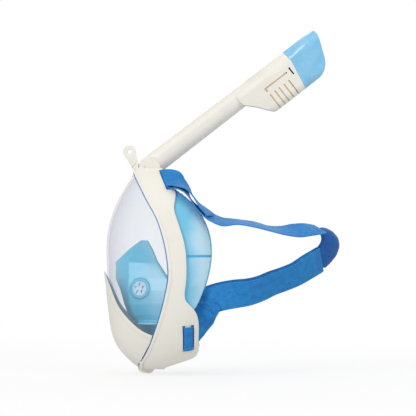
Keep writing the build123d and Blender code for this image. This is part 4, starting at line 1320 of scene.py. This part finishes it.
@dataclass
class RearPanel:
    """The padded panel behind the head, with bound edges and quilting rows, in the strap webbing darkened as
    painted shade.

    Args:
        half: Half width in millimetres.
        knee: Distance from the middle where the panel starts to wrap forwards.
        middle_rows: Depth and height of its middle line, top to bottom.
        knee_rows: The same at the knee.
        end_rows: The same at its ends.
        thick: Thickness in millimetres.
        columns: Faces across its width.
        lines: Faces down its height.
        channels: Quilted channels down its height.
        hem: Width of its hem, as a share of its height or half width.
        edge_round: Round of its bound edge in millimetres.
    """

    half: float = 46.0
    knee: float = 25.0
    middle_rows: tuple[Pair, ...] = (
        (154.5, 31.0), (162.5, 26.0), (167.8, 18.5), (168.8, 10.0), (166.0, 1.0), (160.5, -6.5), 
        (154.0, -12.5),
    )
    knee_rows: tuple[Pair, ...] = (
        (151.8, 32.0), (159.5, 27.5), (164.8, 20.0), (166.0, 11.0), (163.0, 1.5), (157.5, -7.5), 
        (151.0, -14.5),
    )
    end_rows: tuple[Pair, ...] = (
        (143.5, 29.2), (148.3, 25.5), (150.6, 20.0), (149.8, 14.5), (146.6, 9.5), (143.0, 5.5), (139.8, 2.5),
    )
    thick: float = 1.7
    columns: int = 84
    lines: int = 72
    channels: int = 5
    hem: float = 0.035
    edge_round: float = 0.5

    def build(self) -> Object:
        """Make the panel and let it replace its solid.

        Returns:
            The panel.
        """
        profiles = [Path([Station((0.0, y, z), (1.0, 0.0, 0.0)) for y, z in rows])
                    for rows in (self.middle_rows, self.knee_rows, self.end_rows)]
        panel = new_slab("rear_panel_pad", self.columns, self.lines)
        unroll(panel, self.half / 5, profiles[0].length * 100)
        for vertex in panel.data.vertices:
            vertex.co = self._place(profiles, vertex.co.x * 2, vertex.co.y + 0.5, vertex.co.z)
        outward(panel)
        add_bevel(panel, "bound_edge", self.edge_round, 3, 60.0)
        apply_modifiers(panel)
        shade_by_angle(panel, 60.0)
        # Its finish is the darker webbing: painted shade.
        settle(panel, ROOT_BODY, SHADED_PANEL.material())
        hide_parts("rear_strap_panel")
        return panel

    def _place(self, profiles: list[Path], side: float, share: float, face: float) -> Vector:
        """Where a point of the flat panel goes.

        Args:
            profiles: The panel's lines at its middle, knee and end.
            side: -1 at its right end, 1 at its left.
            share: 0 at its top edge, 1 at its bottom.
            face: 0 on its inner face, 1 on its outer.

        Returns:
            The point in metres.
        """
        lines = [profile.at(share)[0] for profile in profiles]
        out = abs(side) * self.half
        # An even quartic, level at the middle, passes through the middle, knee and end.
        near, far = self.knee ** 2, self.half ** 2
        place = Vector()
        for axis in (1, 2):
            rise_near = lines[1][axis] - lines[0][axis]
            rise_far = lines[2][axis] - lines[0][axis]
            fourth = (rise_far / far - rise_near / near) / (far - near)
            square = rise_near / near - fourth * near
            place[axis] = lines[0][axis] + square * out ** 2 + fourth * out ** 4
        quilt = abs(math.sin(math.pi * self.channels * share)) ** 0.6
        in_hem = min(share, 1 - share) < self.hem or 1 - abs(side) < self.hem
        depth = self.thick * (0.32 + 0.18 * (1.0 if in_hem else quilt))
        middle = Vector((side * self.half * MM, place.y - self.thick / 2 * MM, place.z))
        return middle + Vector((0.0, (depth if face > 0.5 else -depth) * MM, 0.0))


# ---------------------------------------------------------------------------
# Snorkel head louvres: a tan sheet as painted shade in their recesses
# ---------------------------------------------------------------------------
@dataclass
class LouvreShadeSheet:
    """A pale tan sheet seen through the head's louvres, painted shade standing in for their shadowed recesses: a
    trough round the float.

    Args:
        half: Half width in millimetres.
        low: Height of its floor above the tube's axis.
        high: Height of its upper edges.
        start: Distance of its near end along the tube from the hinge.
        end: Distance of its far end.
        corner: Radius of its two long corners.
        thick: Thickness in millimetres.
    """

    half: float = 20.35
    low: float = -38.15
    high: float = -9.6
    start: float = 161.3
    end: float = 189.8
    corner: float = 7.45
    thick: float = 1.9

    def build(self) -> Object:
        """Bend the trough up from a box and stand it in the head.

        Returns:
            The painted shade sheet.
        """
        deselect_all()
        bpy.ops.mesh.primitive_cube_add(size=1.0)
        shade_sheet = bpy.context.object
        shade_sheet.name = "louvre_shade_sheet"
        pick_faces(shade_sheet, lambda face: face.normal.y > 0.9 or abs(face.normal.z) > 0.9)
        bpy.ops.mesh.delete(type="FACE")
        bpy.ops.object.mode_set(mode="OBJECT")
        middle = Vector((0.0, (self.low + self.high) / 2, (self.start + self.end) / 2))
        size = (2 * self.half, self.high - self.low, self.end - self.start)
        for vertex in shade_sheet.data.vertices:
            vertex.co = Vector([m + c * s for m, c, s in zip(middle, vertex.co, size)]) * MM
        bend = shade_sheet.modifiers.new("bend", "BEVEL")
        bend.width = self.corner * MM
        bend.segments = 8
        wall = shade_sheet.modifiers.new("wall", "SOLIDIFY")
        wall.thickness = self.thick * MM
        wall.offset = -1.0
        apply_modifiers(shade_sheet)
        self._stand(shade_sheet)
        shade_by_angle(shade_sheet, 40.0)
        # The tan finish is painted shade for the louvres' recesses.
        settle(shade_sheet, "snorkel", LOUVRE_SHADE.material())
        return shade_sheet

    @staticmethod
    def _stand(shade_sheet: Object) -> None:
        """Carry the shade sheet from the tube's own directions into the head.

        Args:
            shade_sheet: The shade sheet, in the tube's own directions.
        """
        fold, slide = joint_named("snorkel_fold"), joint_named("float_slide")
        hinge, along = Vector(fold["pos_m"]), Vector(slide["axis"]).normalized()
        above = Vector((0.0, -along.z, along.y))
        for vertex in shade_sheet.data.vertices:
            x, y, z = vertex.co
            vertex.co = hinge + Vector((x, 0.0, 0.0)) + above * y + along * z
        outward(shade_sheet)


# ---------------------------------------------------------------------------
# Thin valve discs
# ---------------------------------------------------------------------------
@dataclass
class ValveDisc:
    """A thin silicone disc that covers a valve seat's petals.

    Args:
        node: The frame's node that it replaces.
        body: The body that it rides on.
        joint: The joint that lifts it, whose axis is the disc's.
        thick: Thickness in millimetres.
        bead: Height of its rim bead in millimetres.
        sides: Corners of its outline.
    """

    node: str
    body: str
    joint: str
    thick: float = 0.6
    bead: float = 0.12
    sides: int = 72

    def build(self) -> Object:
        """Spin up the disc about its pin, with a ring and a rim bead.

        Returns:
            The disc.
        """
        axis = Vector(joint_named(self.joint)["axis"]).normalized()
        source = frame["nodes"][self.node]
        points = [v.co.copy() for v in source.data.vertices]
        low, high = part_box(self.node)
        middle = (Vector(low) + Vector(high)) / 2
        radius = max(((p - middle) - axis * (p - middle).dot(axis)).length for p in points) / MM
        deselect_all()
        bpy.ops.mesh.primitive_cylinder_add(vertices=self.sides, radius=radius * MM, depth=self.thick * MM)
        disc = bpy.context.object
        disc.name = f"{self.node}_disc"
        pick_faces(disc, lambda face: abs(face.normal.z) > 0.9)
        for share, rise in ((0.08, -self.bead), (0.30, 0.0), (0.28, self.bead * 0.6), (0.08, 0.0)):
            bpy.ops.mesh.inset(thickness=share * radius * MM, depth=rise * MM, use_individual=False)
        bpy.ops.object.mode_set(mode="OBJECT")
        turn = Vector((0, 0, 1)).rotation_difference(axis).to_matrix()
        for vertex in disc.data.vertices:
            vertex.co = middle + turn @ vertex.co
        shade_by_angle(disc, 35.0)
        settle(disc, self.body, FLAP.material())
        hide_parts(self.node)
        return disc


# ---------------------------------------------------------------------------
# Studio
# ---------------------------------------------------------------------------
@dataclass
class Studio:
    """Floor, lights and camera.

    Args:
        aim: Where the camera looks, in metres.
        distance: Camera distance in metres.
        field: Width of the picture at the object, in metres.
        floor_gap: Distance of the floor below the mask's box, in metres.
        floor_size: Side of the floor, in metres.
        near: Distance at which the floor starts to fade, in metres.
        far: Distance at which it has faded.
        background: Strength of the surroundings where they are looked at.
        ambient: Their strength as a source of light.
    """

    aim: Point = (0.0, 0.0152, 0.0550)
    distance: float = 4.0
    field: float = 0.4867
    floor_gap: float = 0.0005
    floor_size: float = 60.0
    near: float = 0.5
    far: float = 1.6
    background: float = 1.0
    ambient: float = 0.62

    def build(self) -> None:
        """Set up the whole studio."""
        self._world()
        self._floor()
        self._lamp("key_softbox", (1.9, -1.5, 1.2), (0.7, 1.6), 25.0)
        self._lamp("fill_softbox", (1.5, 1.9, 0.9), (1.6, 1.6), 11.0)
        self._lamp("top_softbox", (0.2, 0.2, 2.3), (1.6, 1.6), 5.0)
        self._lamp("back_softbox", (-2.0, 0.3, 1.0), (1.8, 1.8), 15.0)
        self._camera()
        bpy.context.scene.view_settings.view_transform = "Standard"

    def _world(self) -> None:
        """Even white surroundings."""
        world = bpy.data.worlds.new("studio_white")
        world.use_nodes = True
        tree = world.node_tree
        plain = tree.nodes["Background"]
        plain.inputs["Color"].default_value = (1.0, 1.0, 1.0, 1.0)
        tree.links.new(self._seen(tree), plain.inputs["Strength"])
        bpy.context.scene.world = world

    def _seen(self, tree: NodeTree) -> NodeSocket:
        """Full white where it is looked at, and softer as a source of light."""
        path = tree.nodes.new("ShaderNodeLightPath")
        return span(tree, path.outputs["Is Camera Ray"], (0.0, 1.0), (self.ambient, self.background))

    def _floor(self) -> None:
        """A pale floor that fades into the surroundings far from the mask."""
        low, _ = CAD_BOX
        deselect_all()
        bpy.ops.mesh.primitive_plane_add(size=self.floor_size, location=(0, 0, low.z - self.floor_gap))
        floor = bpy.context.object
        floor.name = "studio_floor"
        material, tree, shader, out = new_material("studio_floor")
        preset(shader, Base_Color=linear(0.95, 0.95, 0.95), Roughness=0.9)
        glow = tree.nodes.new("ShaderNodeEmission")
        glow.inputs["Color"].default_value = (1.0, 1.0, 1.0, 1.0)
        tree.links.new(self._seen(tree), glow.inputs["Strength"])
        place = tree.nodes.new("ShaderNodeTexCoord").outputs["Object"]
        length = tree.nodes.new("ShaderNodeVectorMath")
        length.operation = "LENGTH"
        tree.links.new(place, length.inputs[0])
        share = span(tree, length.outputs["Value"], (self.near, self.far), (0.75, 1.0))
        mix = tree.nodes.new("ShaderNodeMixShader")
        tree.links.new(share, mix.inputs["Fac"])
        tree.links.new(shader.outputs["BSDF"], mix.inputs[1])
        tree.links.new(glow.outputs["Emission"], mix.inputs[2])
        tree.links.new(mix.outputs["Shader"], out.inputs["Surface"])
        floor.data.materials.append(material)

    def _lamp(self, name: str, place: Point, size: Pair, power: float) -> None:
        """Add one softbox aimed at the mask.

        Args:
            name: Its name.
            place: Where it stands, in metres.
            size: Its width and height, in metres.
            power: Its power in watts.
        """
        data = bpy.data.lights.new(name, "AREA")
        data.shape = "RECTANGLE"
        data.size, data.size_y = size
        data.energy = power
        lamp = bpy.data.objects.new(name, data)
        bpy.context.scene.collection.objects.link(lamp)
        lamp.location = place
        lamp.rotation_euler = (Vector(self.aim) - Vector(place)).to_track_quat("-Z", "Y").to_euler()

    def _camera(self) -> None:
        """Add the long-lens side camera."""
        data = bpy.data.cameras.new("side_camera")
        data.sensor_width = 36.0
        data.lens = data.sensor_width * self.distance / self.field
        data.clip_end = 100.0
        camera = bpy.data.objects.new("side_camera", data)
        bpy.context.scene.collection.objects.link(camera)
        camera.location = (self.distance, self.aim[1], self.aim[2])
        camera.rotation_euler = (math.radians(90), 0, math.radians(90))
        bpy.context.scene.camera = camera


def main() -> None:
    """Build every sub-assembly in order."""
    logging.basicConfig(level=logging.INFO, format="%(message)s")
    build_moulded_group()
    build_silicone_group()
    build_weave_group()
    HardParts().dress()
    skirt = MouldedSilicone("face_skirt", "face_skirt_moulding", 1.0, 4, SKIRT, "skirt_blue").build()
    SkirtRim().build(skirt)
    MouldedSilicone("nose_mouth_pocket", "nose_pocket_moulding", 0.9, 3, POCKET, "pocket_blue").build()
    LouvreShadeSheet().build()
    HeadStraps().build()
    ValveDisc("inhale_flap_left", "inhale_flap_l", "inhale_flap_left_lift").build()
    ValveDisc("inhale_flap_right", "inhale_flap_r", "inhale_flap_right_lift").build()
    ValveDisc("purge_diaphragm", "purge_flap", "purge_diaphragm_lift").build()
    Studio().build()


if __name__ == "__main__":
    main()
